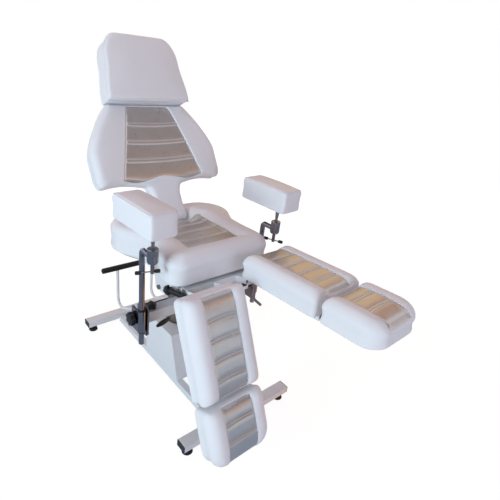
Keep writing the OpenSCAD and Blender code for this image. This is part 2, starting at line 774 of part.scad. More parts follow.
module swivel_lock_grip() finished(black_plastic) {
    way = lock_lever_end - lock_lever_start;
    translate([lock_lever_end.x, lock_lever_end.y, lock_lever_z])
        rotate([0, 0, atan2(way.y, way.x)]) along_x() difference() {
            rotate_extrude() polygon(concat([[0, 0]],
                [for (i = [0:10]) [6 + 5 * sin(18 * i), 7.6 * i]], [[0, 76]]));
            translate([0, 0, -beyond]) cylinder(h = 41 + running, r = bore_r(8));
        }
}

// ---------- seat ----------

module seat_rails() finished(white_paint) {
    length = seat_rail_rear - seat_rail_front;
    for (side = [LEFT, RIGHT]) {
        translate([side * seat_rail_x, seat_rail_front + length / 2, lock_z])
            tube_y(length, seat_rail_w, seat_rail_h, base_wall);
        // Stub that the leg lock handle turns on
        translate([side * seat_rail_outer, lock_y, lock_z]) rotate([0, side * 90, 0])
            cylinder(h = lock_x - seat_rail_outer, d = lock_shaft_d);
    }
}

module seat_rail_caps() finished(black_plastic)
    for (side = [LEFT, RIGHT]) translate([side * seat_rail_x, seat_rail_front, lock_z]) {
        translate([0, -rail_cap / 2, 0]) cube([seat_rail_w, rail_cap, seat_rail_h], center = true);
        translate([0, 6, 0]) cube([seat_rail_w - 2 * base_wall, 12, seat_rail_h - 2 * base_wall],
            center = true);
    }

// Plate from the front cross member to the leg hinge, at x
module leg_hinge_plate(x) translate([x, 0, 0]) difference() {
    across(hinge_plate) {
        translate([leg_hinge_y, leg_hinge_z]) circle(r = knuckle_d / 2 - 0.6);
        polygon([[leg_hinge_y - 9, leg_hinge_z - 8.5], [leg_hinge_y + 3, leg_hinge_z + 11.5],
            [leg_beam_front, board_z - 1], [leg_beam_front, member_z]]);
    }
    translate([0, leg_hinge_y, leg_hinge_z]) along_x()
        cylinder(h = 2 * hinge_plate, r = leg_pin_d / 2, center = true);
}

module leg_hinge_beam() finished(white_paint) {
    translate([0, (leg_beam_front + leg_beam_rear) / 2, member_z + seat_rail_h / 2])
        tube_x(2 * leg_beam_half, seat_rail_h, seat_rail_h, base_wall);
    for (side = [LEFT, RIGHT], x = leg_plates) leg_hinge_plate(side * x);
}

module back_hinge_bar() finished(white_paint) {
    translate([0, back_bar_rear - seat_rail_h / 2, member_z + seat_rail_h / 2])
        tube_x(2 * seat_rail_outer, seat_rail_h, seat_rail_h, base_wall);
    for (side = [LEFT, RIGHT]) translate([side * (spine_w / 2 + face_gap + 3), 0, 0]) difference() {
        across(6) {
            translate([back_hinge.x, back_hinge.y]) circle(r = back_hinge_r);
            polygon([[back_bar_rear, member_z], [back_hinge.x, back_hinge.y - back_hinge_r],
                [back_hinge.x, back_hinge.y + back_hinge_r], [back_bar_rear, board_z]]);
        }
        translate([0, back_hinge.x, back_hinge.y]) along_x()
            cylinder(h = 12, r = back_pin_d / 2, center = true);
    }
}

module hinge_pins() finished(bare_steel) {
    pin_from = leg_plates[0] - hinge_plate;
    pin_to = leg_middle + leg_tube_half + leg_tube / 2 + 3;
    for (side = [LEFT, RIGHT]) translate([side * (pin_from + pin_to) / 2, leg_hinge_y, leg_hinge_z])
        along_x() cylinder(h = pin_to - pin_from, d = leg_pin_d, center = true);
    translate([0, back_hinge.x, back_hinge.y]) along_x()
        cylinder(h = spine_w + 20, d = back_pin_d, center = true);
}

// Half the width of the seat at v
function seat_half(v) = v < seat_front + 60
    ? seat_front_half - 60 * (1 - eased(v - seat_front, 60))
    : v < 70 ? mix(seat_front_half, seat_waist_half, soft((v - seat_front - 60) / 110))
    : v < 270 ? mix(seat_waist_half, seat_lobe_half, soft((v - 110) / 150))
    : seat_lobe_half - (seat_rear - 270) * (1 - eased(seat_rear - v, seat_rear - 270));

// Space behind the seat where the backrest's neck swings
module neck_notch(height) translate([0, 0, -beyond]) linear_extrude(height + 2 * beyond)
    polygon([[-notch_half, notch_front + 24], [-notch_half + 24, notch_front],
        [notch_half - 24, notch_front], [notch_half, notch_front + 24],
        [notch_half, seat_rear + 10], [-notch_half, seat_rear + 10]]);

module seat_board() finished(grey_board) translate([0, 0, board_z]) difference() {
    inset = 26;
    steps = [for (t = [0:0.05:1]) mix(seat_front + inset, seat_rear - inset, t)];
    linear_extrude(board_h) polygon(concat([for (v = steps) [seat_half(v) - inset, v]],
        [for (i = [len(steps) - 1:-1:0]) [inset - seat_half(steps[i]), steps[i]]]));
    neck_notch(board_h);
}

module seat_cushion() finished(white_vinyl) translate([0, 0, seat_base]) difference() {
    insert_from = -37;
    insert_to = 258;
    cushion(seat_front, seat_rear, 40, [
        function(v) seat_half(v),
        function(v) seat_thick,
        function(v) 124,
        [insert_from, insert_to], seat_sink, seams_of(insert_from, insert_to, 4), 5, 5, 30]);
    neck_notch(2 * seat_thick);
}

// ---------- backrest ----------

module back_frame() finished(white_paint) on_back() {
    spine_top = 230;
    guide = 18;
    guide_from = 160;
    guide_to = 300;
    difference() {
        union() {
            translate([-spine_w / 2, back_thick, -back_hinge_drop])
                cube([spine_w, spine_depth, back_hinge_drop + spine_top]);
            translate([0, back_hinge_depth, -back_hinge_drop]) along_x()
                cylinder(h = spine_w, r = back_hinge_r, center = true);
            translate([-head_rod_x - guide, back_thick, 150])
                cube([2 * (head_rod_x + guide), 4, 160]);
            for (side = [LEFT, RIGHT])
                translate([side * head_rod_x - guide / 2, back_thick + 4, guide_from])
                    cube([guide, guide, guide_to - guide_from]);
        }
        translate([0, back_hinge_depth, -back_hinge_drop]) along_x()
            cylinder(h = spine_w + 2, r = bore_r(back_pin_d), center = true);
        for (side = [LEFT, RIGHT]) translate([side * head_rod_x, back_thick + 4 + guide / 2, guide_from - 1])
            cylinder(h = guide_to - guide_from + 2, r = bore_r(head_rod_d));
    }
}

// Half the width of the backrest at the height v
function back_width(v) = v < 60 ? back_half - 26 * (1 - eased(v + 44, 44))
    : v < 110 ? back_half
    : mix(back_half, 186, pow((v - 110) / (back_top - 110), 1.35));

module back_cushion() finished(white_vinyl) on_back() {
    wing_bottom = -44;
    translate([0, back_thick, 0]) rotate([90, 0, 0])
        cushion(wing_bottom, back_top, 34, [
            function(v) back_width(v),
            function(v) back_thick,
            function(v) mix(196, 104, v / 315),
            [0, back_top], 10, seams_of(0, 318, 4), 5, 5, 34],
            // The lower edge rises on each side of the neck
            function(x) 16 * sin(180 * min(max((x - neck_half) / (back_half - neck_half), 0), 1)));
    translate([0, back_thick - face_gap, 0]) rotate([90, 0, 0])
        linear_extrude(back_thick - face_gap - neck_back) polygon(concat(
            [for (a = [0:30:90]) [neck_half + 8 - 20 * (1 - sin(a)), -neck_drop + 20 * (1 - cos(a))]],
            [[neck_half, wing_bottom - 20], [neck_half + 14, wing_bottom + 22], [-neck_half - 14,
                wing_bottom + 22], [-neck_half, wing_bottom - 20]],
            [for (a = [90:-30:0]) [-neck_half - 8 + 20 * (1 - sin(a)), -neck_drop + 20 * (1 - cos(a))]]));
}

// ---------- headrest ----------

module head_frame() finished(chrome_metal) {
    rod_depth = back_thick + 13;
    rod_from = back_top - 140;
    rod_to = back_top + 110;
    lug = [18, 40];
    on_back() for (side = [LEFT, RIGHT]) translate([side * head_rod_x, 0, 0]) {
        translate([0, rod_depth, rod_from]) cylinder(h = rod_to - rod_from, d = head_rod_d);
        translate([-lug.x / 2, rod_depth - 41.5, rod_to - lug.y]) cube([lug.x, rod_depth - 40, lug.y]);
    }
    on_head() translate([-head_rod_x - 20, head_thick, 40])
        cube([2 * (head_rod_x + 20), 4, 120]);
}

module head_cushion() finished(white_vinyl) on_head() translate([0, head_thick, 0])
    rotate([90, 0, 0]) cushion(0, head_length, 34, [
        function(v) v < 150 ? mix(head_half, 172, soft(v / 150))
            : head_top_half + (172 - head_top_half) * eased(head_length - v, head_length - 150),
        function(v) head_thick,
        function(v) 90,
        [0, head_length], 0, [], 5, 0, 26]);

// ---------- leg rests ----------

module leg_frame(side) finished(white_paint) on_leg(side)
    translate([side * leg_middle, 0, 0]) difference() {
        front = leg_front + 12;
        union() {
            for (run = knuckle_runs) translate([side == LEFT ? run[0] : -run[1], 0, 0])
                along_x() cylinder(h = run[1] - run[0], d = knuckle_d);
            for (x = [-leg_tube_half, leg_tube_half])
                translate([x - leg_tube / 2, front, leg_tube_z - leg_tube / 2])
                    cube([leg_tube, -front, leg_tube]);
            for (y = [front + 10, -90]) translate([-leg_tube_half, y, leg_tube_top - 12])
                cube([2 * leg_tube_half, 30, 12]);
            // Boss and pin of the release lever
            translate([-side * (release_x - release_hub_w / 2 - face_gap), release_y, leg_tube_z])
                rotate([0, side * 90, 0]) cylinder(h = release_boss + 2, d = 2 * release_pin_d);
            translate([-side * (release_x + release_hub_w / 2), release_y, leg_tube_z])
                rotate([0, side * 90, 0])
                cylinder(h = release_hub_w + face_gap + release_boss, d = release_pin_d);
        }
        along_x() cylinder(h = leg_w, r = bore_r(leg_pin_d), center = true);
        for (x = [-leg_tube_half, leg_tube_half]) translate([x, front - beyond, leg_tube_z])
            along_y() cylinder(h = -front - 30, r = bore_r(foot_rod_d));
    }

module foot_slide(side) finished(chrome_metal) on_leg(side) translate([side * leg_middle, 0, 0]) {
    tip = foot_front + 40;
    root = leg_front + 150;
    for (x = [-leg_tube_half, leg_tube_half]) translate([x, tip, leg_tube_z])
        along_y() cylinder(h = root - tip, d = foot_rod_d);
    for (y = [foot_rear - 44, tip + 6])
        translate([-leg_tube_half - 16, y, leg_tube_top - 14])
            cube([2 * leg_tube_half + 32, 28, 14]);
}

// Cushion that lies on a leg rest between two places along it
module leg_pad(side, from, to, nose_r, insert_from, insert_to, panels) finished(white_vinyl)
    on_leg(side) translate([side * leg_middle, 0, leg_rise]) cushion(from, to, 30, [
        function(v) leg_w / 2 - nose_r * (1 - eased(v - from, max(nose_r, 1))),
        function(v) leg_thick,
        function(v) leg_insert_w / 2,
        [insert_from, insert_to], 5, seams_of(max(insert_from, from + 8), insert_to, panels), 4, 4, 28]);

module leg_cushion(side) leg_pad(side, leg_front, leg_back, 0,
    leg_front - 20, leg_back - 20, 5);

module foot_cushion(side) leg_pad(side, foot_front, foot_rear, 62,
    foot_front + 34, foot_rear + 20, 3);

module release_lever(side) finished(chrome_metal) on_leg(side)
    translate([side * (leg_middle - release_x), 0, 0]) difference() {
        union() {
            translate([0, release_y, leg_tube_z])
                along_x() cylinder(h = release_hub_w, d = 2 * release_pin_d + 4, center = true);
            bent_rod([[release_y, leg_tube_z], [release_y + 6, -72], [-66, -80]], 12, release_d);
        }
        translate([0, release_y, leg_tube_z])
            along_x() cylinder(h = 2 * release_hub_w, r = bore_r(release_pin_d), center = true);
    }

module leg_lock_handle(side) finished(black_plastic)
    translate([side * lock_x, lock_y, lock_z]) difference() {
        union() {
            rotate([0, side * 90, 0]) translate([0, 0, -14]) star_knob(44, 14, 3, 12);
            rotate([90 - lock_rise, 0, 0]) chamfered_bar(lock_grip_d, 116, 2);
            rotate([0, side * 90, 0]) translate([0, 0, 10])
                rotate([118, 0, 0]) chamfered_bar(14, 34, 2);
        }
        rotate([0, side * 90, 0]) translate([0, 0, -20]) cylinder(h = 20 + running,
            r = bore_r(lock_shaft_d));
    }

// ---------- armrests ----------

module armrest_bracket(side) finished(chrome_metal) mirror([side == LEFT ? 0 : 1, 0, 0])
    difference() {
        union() {
            translate([slide_bar_from, cross_tube_y - slide_bar / 2, cross_tube_z - slide_bar / 2])
                cube([bracket_face - bracket_plate - slide_bar_from, slide_bar, slide_bar]);
            translate([bracket_face - bracket_plate / 2, 0, 0]) across(bracket_plate)
                polygon([[-18, 398], [-6, 385], [40, 385], [58, 420], [58, 512], [36, 530],
                    [-6, 530], [-18, 516]]);
            translate([post_x, 0, clamp_low]) linear_extrude(clamp_high - clamp_low) {
                circle(r = clamp_r);
                translate([-clamp_r, 0]) square([2 * clamp_r, clamp_reach]);
            }
        }
        // Hollow of the slide bar, bore of the bush, slit of the clamp, and its screw's hole
        translate([slide_bar_from - beyond, cross_tube_y - slide_bar / 2 + 3,
            cross_tube_z - slide_bar / 2 + 3])
            cube([bracket_face - bracket_plate - slide_bar_from, slide_bar - 6, slide_bar - 6]);
        translate([post_x, 0, clamp_low - beyond]) cylinder(h = clamp_high - clamp_low + 2 * beyond,
            r = bore_r(post_d + 2 * bush_wall));
        translate([post_x - clamp_slot / 2, 0, clamp_low - beyond])
            cube([clamp_slot, clamp_reach + beyond, clamp_high - clamp_low + 2 * beyond]);
        translate([bracket_face + 4, clamp_screw_y, clamp_screw_z]) along_x()
            cylinder(h = 60, r = bore_r(screw_d));
    }

module armrest_bush(side) finished(black_plastic) on_arm(side) difference() {
    union() {
        translate([0, 0, clamp_low - 4]) cylinder(h = clamp_high - clamp_low + 8,
            d = post_d + 2 * bush_wall);
        for (z = [clamp_low - 4, clamp_high + face_gap]) translate([0, 0, z])
            cylinder(h = 4 - face_gap, d = post_d + 2 * bush_wall + 5);
    }
    translate([0, 0, clamp_low - 10]) cylinder(h = clamp_high - clamp_low + 20, r = bore_r(post_d));
}

module armrest_post(side) finished(chrome_metal) on_arm(side) difference() {
    union() {
        bent_rod([[0, post_bottom], [0, post_arm_z], [-cup_ahead + 10, post_arm_z]], 14, post_d);
        translate([0, -cup_ahead, 0]) rotate_extrude() polygon([[0, cup_low],
            [cup_d / 2 - 9, cup_low], [cup_d / 2 - 2.6, cup_low + 2.6], [cup_d / 2, cup_low + 9],
            [cup_d / 2, cup_high - 2], [cup_d / 2 - 2, cup_high], [0, cup_high]]);
    }
    translate([0, 0, post_bottom - beyond]) cylinder(h = 360, d = post_d - 4);
    translate([0, -cup_ahead, cup_floor]) cylinder(h = cup_h, r = bore_r(stem_d));
    translate([0, -cup_ahead, cup_low - beyond]) cylinder(h = 30, r = bore_r(screw_d));
}

module armrest_stem(side) finished(chrome_metal) on_arm(side) translate([0, -cup_ahead, 0])
    rotate_extrude() polygon([[0, cup_floor + 3], [stem_d / 2 - 1, cup_floor + 3],
        [stem_d / 2, cup_floor + 4], [stem_d / 2, cup_high + 3], [5.5, cup_high + 5],
        [5.5, cup_high + 8], [9.5, arm_pad_z - 10], [9.5, arm_pad_z], [0, arm_pad_z]]);

module armrest_pad(side) finished(white_vinyl)
    translate([side * (post_x + 2.4), -17.6, arm_pad_z])
        rotate([0, 0, side == LEFT ? arm_yaw_left : arm_yaw_right])
        cushion(-arm_pad_l / 2, arm_pad_l / 2, 30, [
            function(v) arm_pad_w / 2,
            function(v) arm_pad_h - 3 - 5 * pow(v / arm_pad_l * 2, 2),
            function(v) arm_pad_w / 4,
            [-arm_pad_l / 2, arm_pad_l / 2], 0, [], 5, 0, 28]);

// Height of the cross bar below a cup, and its placing: on the screw's axis, turned
tee_z = cup_low - 32;
tee_cap = 20;
tee_slide = -16;
module on_tee(side) on_arm(side) translate([0, -cup_ahead, tee_z])
    rotate([0, 0, side == LEFT ? tee_turn_left : tee_turn_right])
    translate([side == LEFT ? 0 : tee_slide, 0, 0]) along_x() children();

module armrest_screw(side) finished(chrome_metal) {
    on_arm(side) translate([0, -cup_ahead, 0]) {
        body_top = cup_low - 4;
        translate([0, 0, body_top]) cylinder(h = cup_floor - body_top, d = screw_d);
    }
    difference() {
        on_arm(side) translate([0, -cup_ahead, tee_z - 8])
            chamfered_bar(14, cup_low - 4 - tee_z + 8, 1);
        on_tee(side) cylinder(h = tee_length, d = tee_d, center = true);
    }
    on_tee(side) cylinder(h = tee_length - 8, d = tee_d, center = true);
}

module armrest_caps(side) finished(black_plastic) on_tee(side) for (end = [0, 1]) mirror([0, 0, end])
    difference() {
        translate([0, 0, tee_length / 2 - tee_cap]) chamfered_bar(14, tee_cap, 2);
        cylinder(h = tee_length / 2 - 4 + running, r = bore_r(tee_d));
    }

module post_knob(side) finished(black_plastic) mirror([side == LEFT ? 0 : 1, 0, 0])
    translate([clamp_out, clamp_screw_y, clamp_screw_z]) along_x() {
        stem = clamp_out - bracket_face - 6;
        translate([0, 0, -stem]) cylinder(h = stem + 10, d = screw_d);
        translate([0, 0, face_gap]) star_knob(post_knob_d, post_knob_h, 7, post_knob_hub);
    }

module slide_knob(side) finished(black_plastic)
    translate([side * slide_knob_x, cross_tube_y, yoke_top + slide_boss_h]) {
        reach = slide_boss_h + cross_tube_wall - 0.1;
        translate([0, 0, -reach]) cylinder(h = reach + 8, d = screw_d);
        translate([0, 0, face_gap]) star_knob(slide_knob_d, 16, 5, 2);
    }

base_front_bar();
base_rear_bar();
base_rails();
base_end_caps();
levelling_feet();
pump_housing();
pump_cylinder();
pedal_frame();
pedal_block();
pedal_grip();
lift_ram();
column_sleeve();
carriage_yoke();
carriage_side_plates();
carriage_bolts();
armrest_cross_tube();
seat_rails();
seat_rail_caps();
leg_hinge_beam();
back_hinge_bar();
hinge_pins();
seat_board();
seat_cushion();
swivel_lock_lever();
swivel_lock_grip();
back_frame();
back_cushion();
head_frame();
head_cushion();
leg_frame(LEFT);  // leg_frame_left
leg_frame(RIGHT);  // leg_frame_right
leg_cushion(LEFT);  // leg_cushion_left
leg_cushion(RIGHT);  // leg_cushion_right
foot_slide(LEFT);  // foot_slide_left
foot_slide(RIGHT);  // foot_slide_right
foot_cushion(LEFT);  // foot_cushion_left
foot_cushion(RIGHT);  // foot_cushion_right
release_lever(LEFT);  // release_lever_left
release_lever(RIGHT);  // release_lever_right
leg_lock_handle(LEFT);  // leg_lock_handle_left
leg_lock_handle(RIGHT);  // leg_lock_handle_right
armrest_bracket(LEFT);  // armrest_bracket_left
armrest_bracket(RIGHT);  // armrest_bracket_right
armrest_bush(LEFT);  // armrest_bush_left
armrest_bush(RIGHT);  // armrest_bush_right
armrest_post(LEFT);  // armrest_post_left
armrest_post(RIGHT);  // armrest_post_right
armrest_stem(LEFT);  // armrest_stem_left
armrest_stem(RIGHT);  // armrest_stem_right
armrest_pad(LEFT);  // armrest_pad_left
armrest_pad(RIGHT);  // armrest_pad_right
armrest_caps(LEFT);  // armrest_caps_left
armrest_caps(RIGHT);  // armrest_caps_right
armrest_screw(LEFT);  // armrest_screw_left
armrest_screw(RIGHT);  // armrest_screw_right
post_knob(LEFT);  // post_knob_left
post_knob(RIGHT);  // post_knob_right
slide_knob(LEFT);  // slide_knob_left
slide_knob(RIGHT);  // slide_knob_right
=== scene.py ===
"""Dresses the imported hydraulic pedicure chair: cushions, silver inserts, trim, finishes, light.

All lengths are in metres, +Z is up, the client faces -Y and +X is the client's left. A cushion is
worked out in its own frame: x across, v along it, and h out of its board through its face.
"""

from __future__ import annotations

import json
import logging
import math
from dataclasses import dataclass, field
from enum import Enum
from typing import Callable

import bpy
import numpy as np
from mathutils import Matrix, Vector

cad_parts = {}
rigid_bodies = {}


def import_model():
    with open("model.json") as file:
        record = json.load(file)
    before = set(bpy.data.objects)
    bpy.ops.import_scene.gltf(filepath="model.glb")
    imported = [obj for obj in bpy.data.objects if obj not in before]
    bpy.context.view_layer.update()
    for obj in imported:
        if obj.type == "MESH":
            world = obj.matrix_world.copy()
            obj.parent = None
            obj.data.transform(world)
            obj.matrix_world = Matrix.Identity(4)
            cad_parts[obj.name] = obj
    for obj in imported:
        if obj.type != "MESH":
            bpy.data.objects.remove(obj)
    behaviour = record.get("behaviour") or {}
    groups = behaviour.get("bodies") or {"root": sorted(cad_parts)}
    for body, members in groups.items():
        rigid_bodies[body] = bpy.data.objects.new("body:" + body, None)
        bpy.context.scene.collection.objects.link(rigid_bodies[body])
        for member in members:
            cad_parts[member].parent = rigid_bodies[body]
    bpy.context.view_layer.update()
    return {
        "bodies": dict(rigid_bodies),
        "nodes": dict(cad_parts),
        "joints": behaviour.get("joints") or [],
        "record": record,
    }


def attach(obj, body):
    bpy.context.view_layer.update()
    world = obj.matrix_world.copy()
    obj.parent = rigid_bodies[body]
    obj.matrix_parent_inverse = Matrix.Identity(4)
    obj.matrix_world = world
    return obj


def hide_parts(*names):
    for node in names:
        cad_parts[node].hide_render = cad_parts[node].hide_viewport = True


LOG = logging.getLogger("pedicure_chair")
Array = np.ndarray
Curve = Callable[[Array], Array]
Relief = Callable[[Array, Array], Array]
Piece = bpy.types.Object
Mesh = bpy.types.Mesh
Tree = bpy.types.NodeTree
Socket = bpy.types.NodeSocket

SIDES = {"left": 1, "right": -1}
CORD_SIDES = 8  # points round a cord


# ---------- small tools ----------


def soft(t: Array) -> Array:
    """Smooth step: 3t^2 - 2t^3 of t, which is held between 0 and 1."""
    t = np.clip(t, 0.0, 1.0)
    return t * t * (3 - 2 * t)


def drop(d: Array, reach: float) -> Array:
    """Quarter round: 1 on an edge, where d is 0, and 0 once the distance d passes reach."""
    t = np.clip(1 - np.maximum(d, 0) / reach, 0, 1)
    return 1 - np.sqrt(1 - t * t)


def linear(code: str) -> tuple[float, float, float, float]:
    """Turns an sRGB hex colour to Blender's linear colour.

    Args:
        code: Colour such as "#f2f2f4".

    Returns:
        Linear red, green, blue and an alpha of 1.
    """
    raw = [int(code[i : i + 2], 16) / 255 for i in (1, 3, 5)]
    rgb = [c / 12.92 if c <= 0.04045 else ((c + 0.055) / 1.055) ** 2.4 for c in raw]
    return (rgb[0], rgb[1], rgb[2], 1.0)


def turned(angle: float) -> Array:
    """Rotation matrix about X by an angle in radians."""
    c, s = math.cos(angle), math.sin(angle)
    return np.array([[1, 0, 0], [0, c, -s], [0, s, c]])


def read_points(mesh: Mesh) -> Array:
    """Vertex places of a mesh as an N x 3 array."""
    out = np.empty(len(mesh.vertices) * 3)
    mesh.vertices.foreach_get("co", out)
    return out.reshape(-1, 3)


def write_points(mesh: Mesh, points: Array) -> None:
    """Puts an N x 3 array of places into a mesh."""
    mesh.vertices.foreach_set("co", points.astype(np.float32).ravel())
    mesh.update()


def read_normals(mesh: Mesh) -> Array:
    """Vertex normals of a mesh as an N x 3 array."""
    out = np.empty(len(mesh.vertices) * 3, np.float32)
    mesh.vertex_normals.foreach_get("vector", out)
    return out.reshape(-1, 3).astype(float)


def even_out(mesh: Mesh, values: Array, passes: int) -> Array:
    """Evens a number per vertex over the mesh: each pass goes half way to the neighbours' mean.

    Args:
        mesh: The mesh whose edges join neighbours.
        values: One number per vertex.
        passes: Number of passes.

    Returns:
        The evened numbers.
    """
    pairs = np.empty(len(mesh.edges) * 2, np.int32)
    mesh.edges.foreach_get("vertices", pairs)
    a, b = pairs.reshape(-1, 2).T
    size = len(values)
    count = np.maximum(np.bincount(a, minlength=size) + np.bincount(b, minlength=size), 1)
    for _ in range(passes):
        total = np.bincount(a, values[b], size) + np.bincount(b, values[a], size)
        values = 0.5 * values + 0.5 * total / count
    return values


def new_piece(name: str, points: Array, faces: list, smooth: bool = True) -> Piece:
    """Makes an object at the origin from points and faces.

    Args:
        name: Name of the piece.
        points: N x 3 places.
        faces: Lists of point numbers, or an M x 4 array.
        smooth: Whether the faces are shaded smooth.

    Returns:
        The linked object.
    """
    mesh = bpy.data.meshes.new(name)
    mesh.from_pydata(points.tolist(), [], faces if isinstance(faces, list) else faces.tolist())
    if smooth:
        mesh.shade_smooth()
    mesh.update()
    piece = bpy.data.objects.new(name, mesh)
    bpy.context.scene.collection.objects.link(piece)
    return piece


def bake_modifiers(piece: Piece) -> None:
    """Replaces a piece's mesh by what its modifiers make of it, and removes them."""
    graph = bpy.context.evaluated_depsgraph_get()
    done = bpy.data.meshes.new_from_object(piece.evaluated_get(graph), depsgraph=graph)
    old = piece.data
    piece.modifiers.clear()
    piece.data = done
    bpy.data.meshes.remove(old)


def grid_faces(rows: int, columns: int, wrap: bool = False) -> Array:
    """Quads of a grid of points stored row by row.

    Args:
        rows: Number of rows.
        columns: Number of points in a row.
        wrap: Whether each row closes on itself.

    Returns:
        An M x 4 array of point numbers.
    """
    i = np.arange(rows - 1)[:, None]
    j = np.arange(columns if wrap else columns - 1)[None, :]
    k = (j + 1) % columns
    a, b = i * columns + j, i * columns + k
    return np.stack([a, b, b + columns, a + columns], -1).reshape(-1, 4)


def stacked(rings: list[Array]) -> tuple[Array, list]:
    """Skins rings of points that lie one over the other, and closes both ends.

    Args:
        rings: Rings of as many points each, from below.

    Returns:
        Points and faces of the closed form.
    """
    count = len(rings[0])
    points = np.concatenate(rings)
    faces = grid_faces(len(rings), count, wrap=True).tolist()
    faces.append(list(range(count))[::-1])
    faces.append([len(points) - count + i for i in range(count)])
    return points, faces


def swept_tube(name: str, path: Array, radius: float, closed: bool = False) -> Piece:
    """Round cord carried along a path: a circle in the plane across the path at each point.

    Args:
        name: Name of the piece.
        path: N x 3 places.
        radius: Radius of the cord.
        closed: Whether the path returns to its start.

    Returns:
        The object, with its ends closed.
    """
    ahead = np.roll(path, -1, 0) - np.roll(path, 1, 0)
    if not closed:
        ahead[0], ahead[-1] = path[1] - path[0], path[-1] - path[-2]
    ahead /= np.linalg.norm(ahead, axis=1)[:, None]
    up = np.where(np.abs(ahead[:, 2:]) > 0.9, [0.0, 1.0, 0.0], [0.0, 0.0, 1.0])
    side = np.cross(ahead, up)
    side /= np.linalg.norm(side, axis=1)[:, None]
    over = np.cross(side, ahead)
    turn = np.linspace(0, 2 * math.pi, CORD_SIDES, endpoint=False)[:, None]
    ring = side[:, None] * np.cos(turn) + over[:, None] * np.sin(turn)
    points, faces = stacked(list(path[:, None] + radius * ring))
    if closed:
        last, j = len(points) - CORD_SIDES, np.arange(CORD_SIDES)
        k = (j + 1) % CORD_SIDES
        faces[-2:] = np.stack([j + last, j, k, k + last], -1).tolist()
    return new_piece(name, points, [face[::-1] for face in faces])


# ---------- finishes ----------


def add_node(tree: Tree, kind: str, sets: dict | None = None,
             links: dict | None = None, **props) -> bpy.types.Node:
    """Adds a node with its settings and its links.

    Args:
        tree: Node tree of the material.
        kind: Node type, without ShaderNode before it.
        sets: Input socket to value.
        links: Input socket to the output socket that feeds it.
        **props: Properties of the node itself.

    Returns:
        The node.
    """
    node = tree.nodes.new("ShaderNode" + kind)
    for key, value in props.items():
        setattr(node, key, value)
    for key, value in (sets or {}).items():
        node.inputs[key].default_value = value
    for key, source in (links or {}).items():
        tree.links.new(source, node.inputs[key])
    return node


def empty_tree(holder: bpy.types.Material | bpy.types.World) -> Tree:
    """Gives a material or a world a node tree with nothing in it."""
    holder.use_nodes = True
    holder.node_tree.nodes.clear()
    return holder.node_tree


def noise(tree: Tree, place: Socket, scale: float, detail: float,
          distortion: float = 0.0) -> Socket:
    """Noise with so many cells to a metre."""
    return add_node(tree, "TexNoise", {"Scale": scale, "Detail": detail, "Distortion": distortion},
                    {"Vector": place}).outputs["Fac"]


def remap(tree: Tree, value: Socket, source: tuple[float, float],
          target: tuple[float, float] = (0.0, 1.0), smooth: bool = True) -> Socket:
    """Carries a number from one range over to another and holds it there.

    Args:
        tree: Node tree of the material.
        value: Socket of the number.
        source: Ends of the first range.
        target: Ends of the second range.
        smooth: Whether it eases in and out.

    Returns:
        Socket of the new number.
    """
    return add_node(tree, "MapRange", {
        "From Min": source[0], "From Max": source[1], "To Min": target[0], "To Max": target[1]},
        {"Value": value}, interpolation_type="SMOOTHSTEP" if smooth else "LINEAR").outputs["Result"]


def mix_shaders(tree: Tree, share: Socket, first: Socket, second: Socket) -> Socket:
    """Mixes two shaders by the second one's share."""
    return add_node(tree, "MixShader", links={0: share, 1: first, 2: second}).outputs[0]


NOISE_SPAN = (0.3, 0.7)  # what a noise spans but for its rare ends


@dataclass(frozen=True)
class Surface:
    """What every finish shares: how one material looks up close.

    Attributes:
        title: The finish's common name.
        colour: sRGB hex of its body colour.
        roughness: Roughness of the shader.
        mottle: Spread of its slow colour changes.
        metallic: 1 on bare metal, less on metallic coating.
        coat: Weight of a clear coat.
        mottle_size: Size of those changes, metres.
        grain_size: Size of its grain, metres.
        grain_depth: Height of the grain, metres.
        wear: Spread of its roughness.
        bevel: Radius that softens a sharp edge in the light, metres.
    """

    title: str
    colour: str
    roughness: float
    mottle: float
    metallic: float = 0.0
    coat: float = 0.0
    mottle_size: float = 0.12
    grain_size: float = 0.0015
    grain_depth: float = 0.00002
    wear: float = 0.04
    bevel: float = 0.0

    def build(self) -> bpy.types.Material:
        """Makes the material: body colour, slow mottle, uneven gloss and a fine grain."""
        made = bpy.data.materials.new(self.title)
        tree = empty_tree(made)
        place = add_node(tree, "TexCoord").outputs["Object"]
        patches = remap(tree, noise(tree, place, 1 / self.mottle_size, 3.0), NOISE_SPAN,
                        (1 - self.mottle, 1.0), smooth=False)
        tone = add_node(tree, "VectorMath", {0: linear(self.colour)[:3]}, {1: patches},
                        operation="MULTIPLY")
        rough = remap(tree, noise(tree, place, 3 / self.mottle_size, 4.0), NOISE_SPAN,
                      (max(self.roughness - self.wear, 0.02), self.roughness + self.wear),
                      smooth=False)
        bump = add_node(tree, "Bump", {"Distance": self.grain_depth, "Strength": 1.0},
                        {"Height": self.grain(tree, place)})
        if self.bevel:
            edge = add_node(tree, "Bevel", {"Radius": self.bevel}, samples=6)
            tree.links.new(edge.outputs["Normal"], bump.inputs["Normal"])
        shader = add_node(tree, "BsdfPrincipled", {
            "Metallic": self.metallic, "Roughness": self.roughness, "Coat Weight": self.coat,
            "Coat Roughness": 0.12}, {
            "Base Color": tone.outputs["Vector"], "Roughness": rough,
            "Normal": bump.outputs["Normal"]})
        add_node(tree, "OutputMaterial", links={"Surface": shader.outputs["BSDF"]})
        return made

    def grain(self, tree: Tree, place: Socket) -> Socket:
        """Fine noise of the finish's own grain size."""
        return noise(tree, place, 1 / self.grain_size, 2.0)


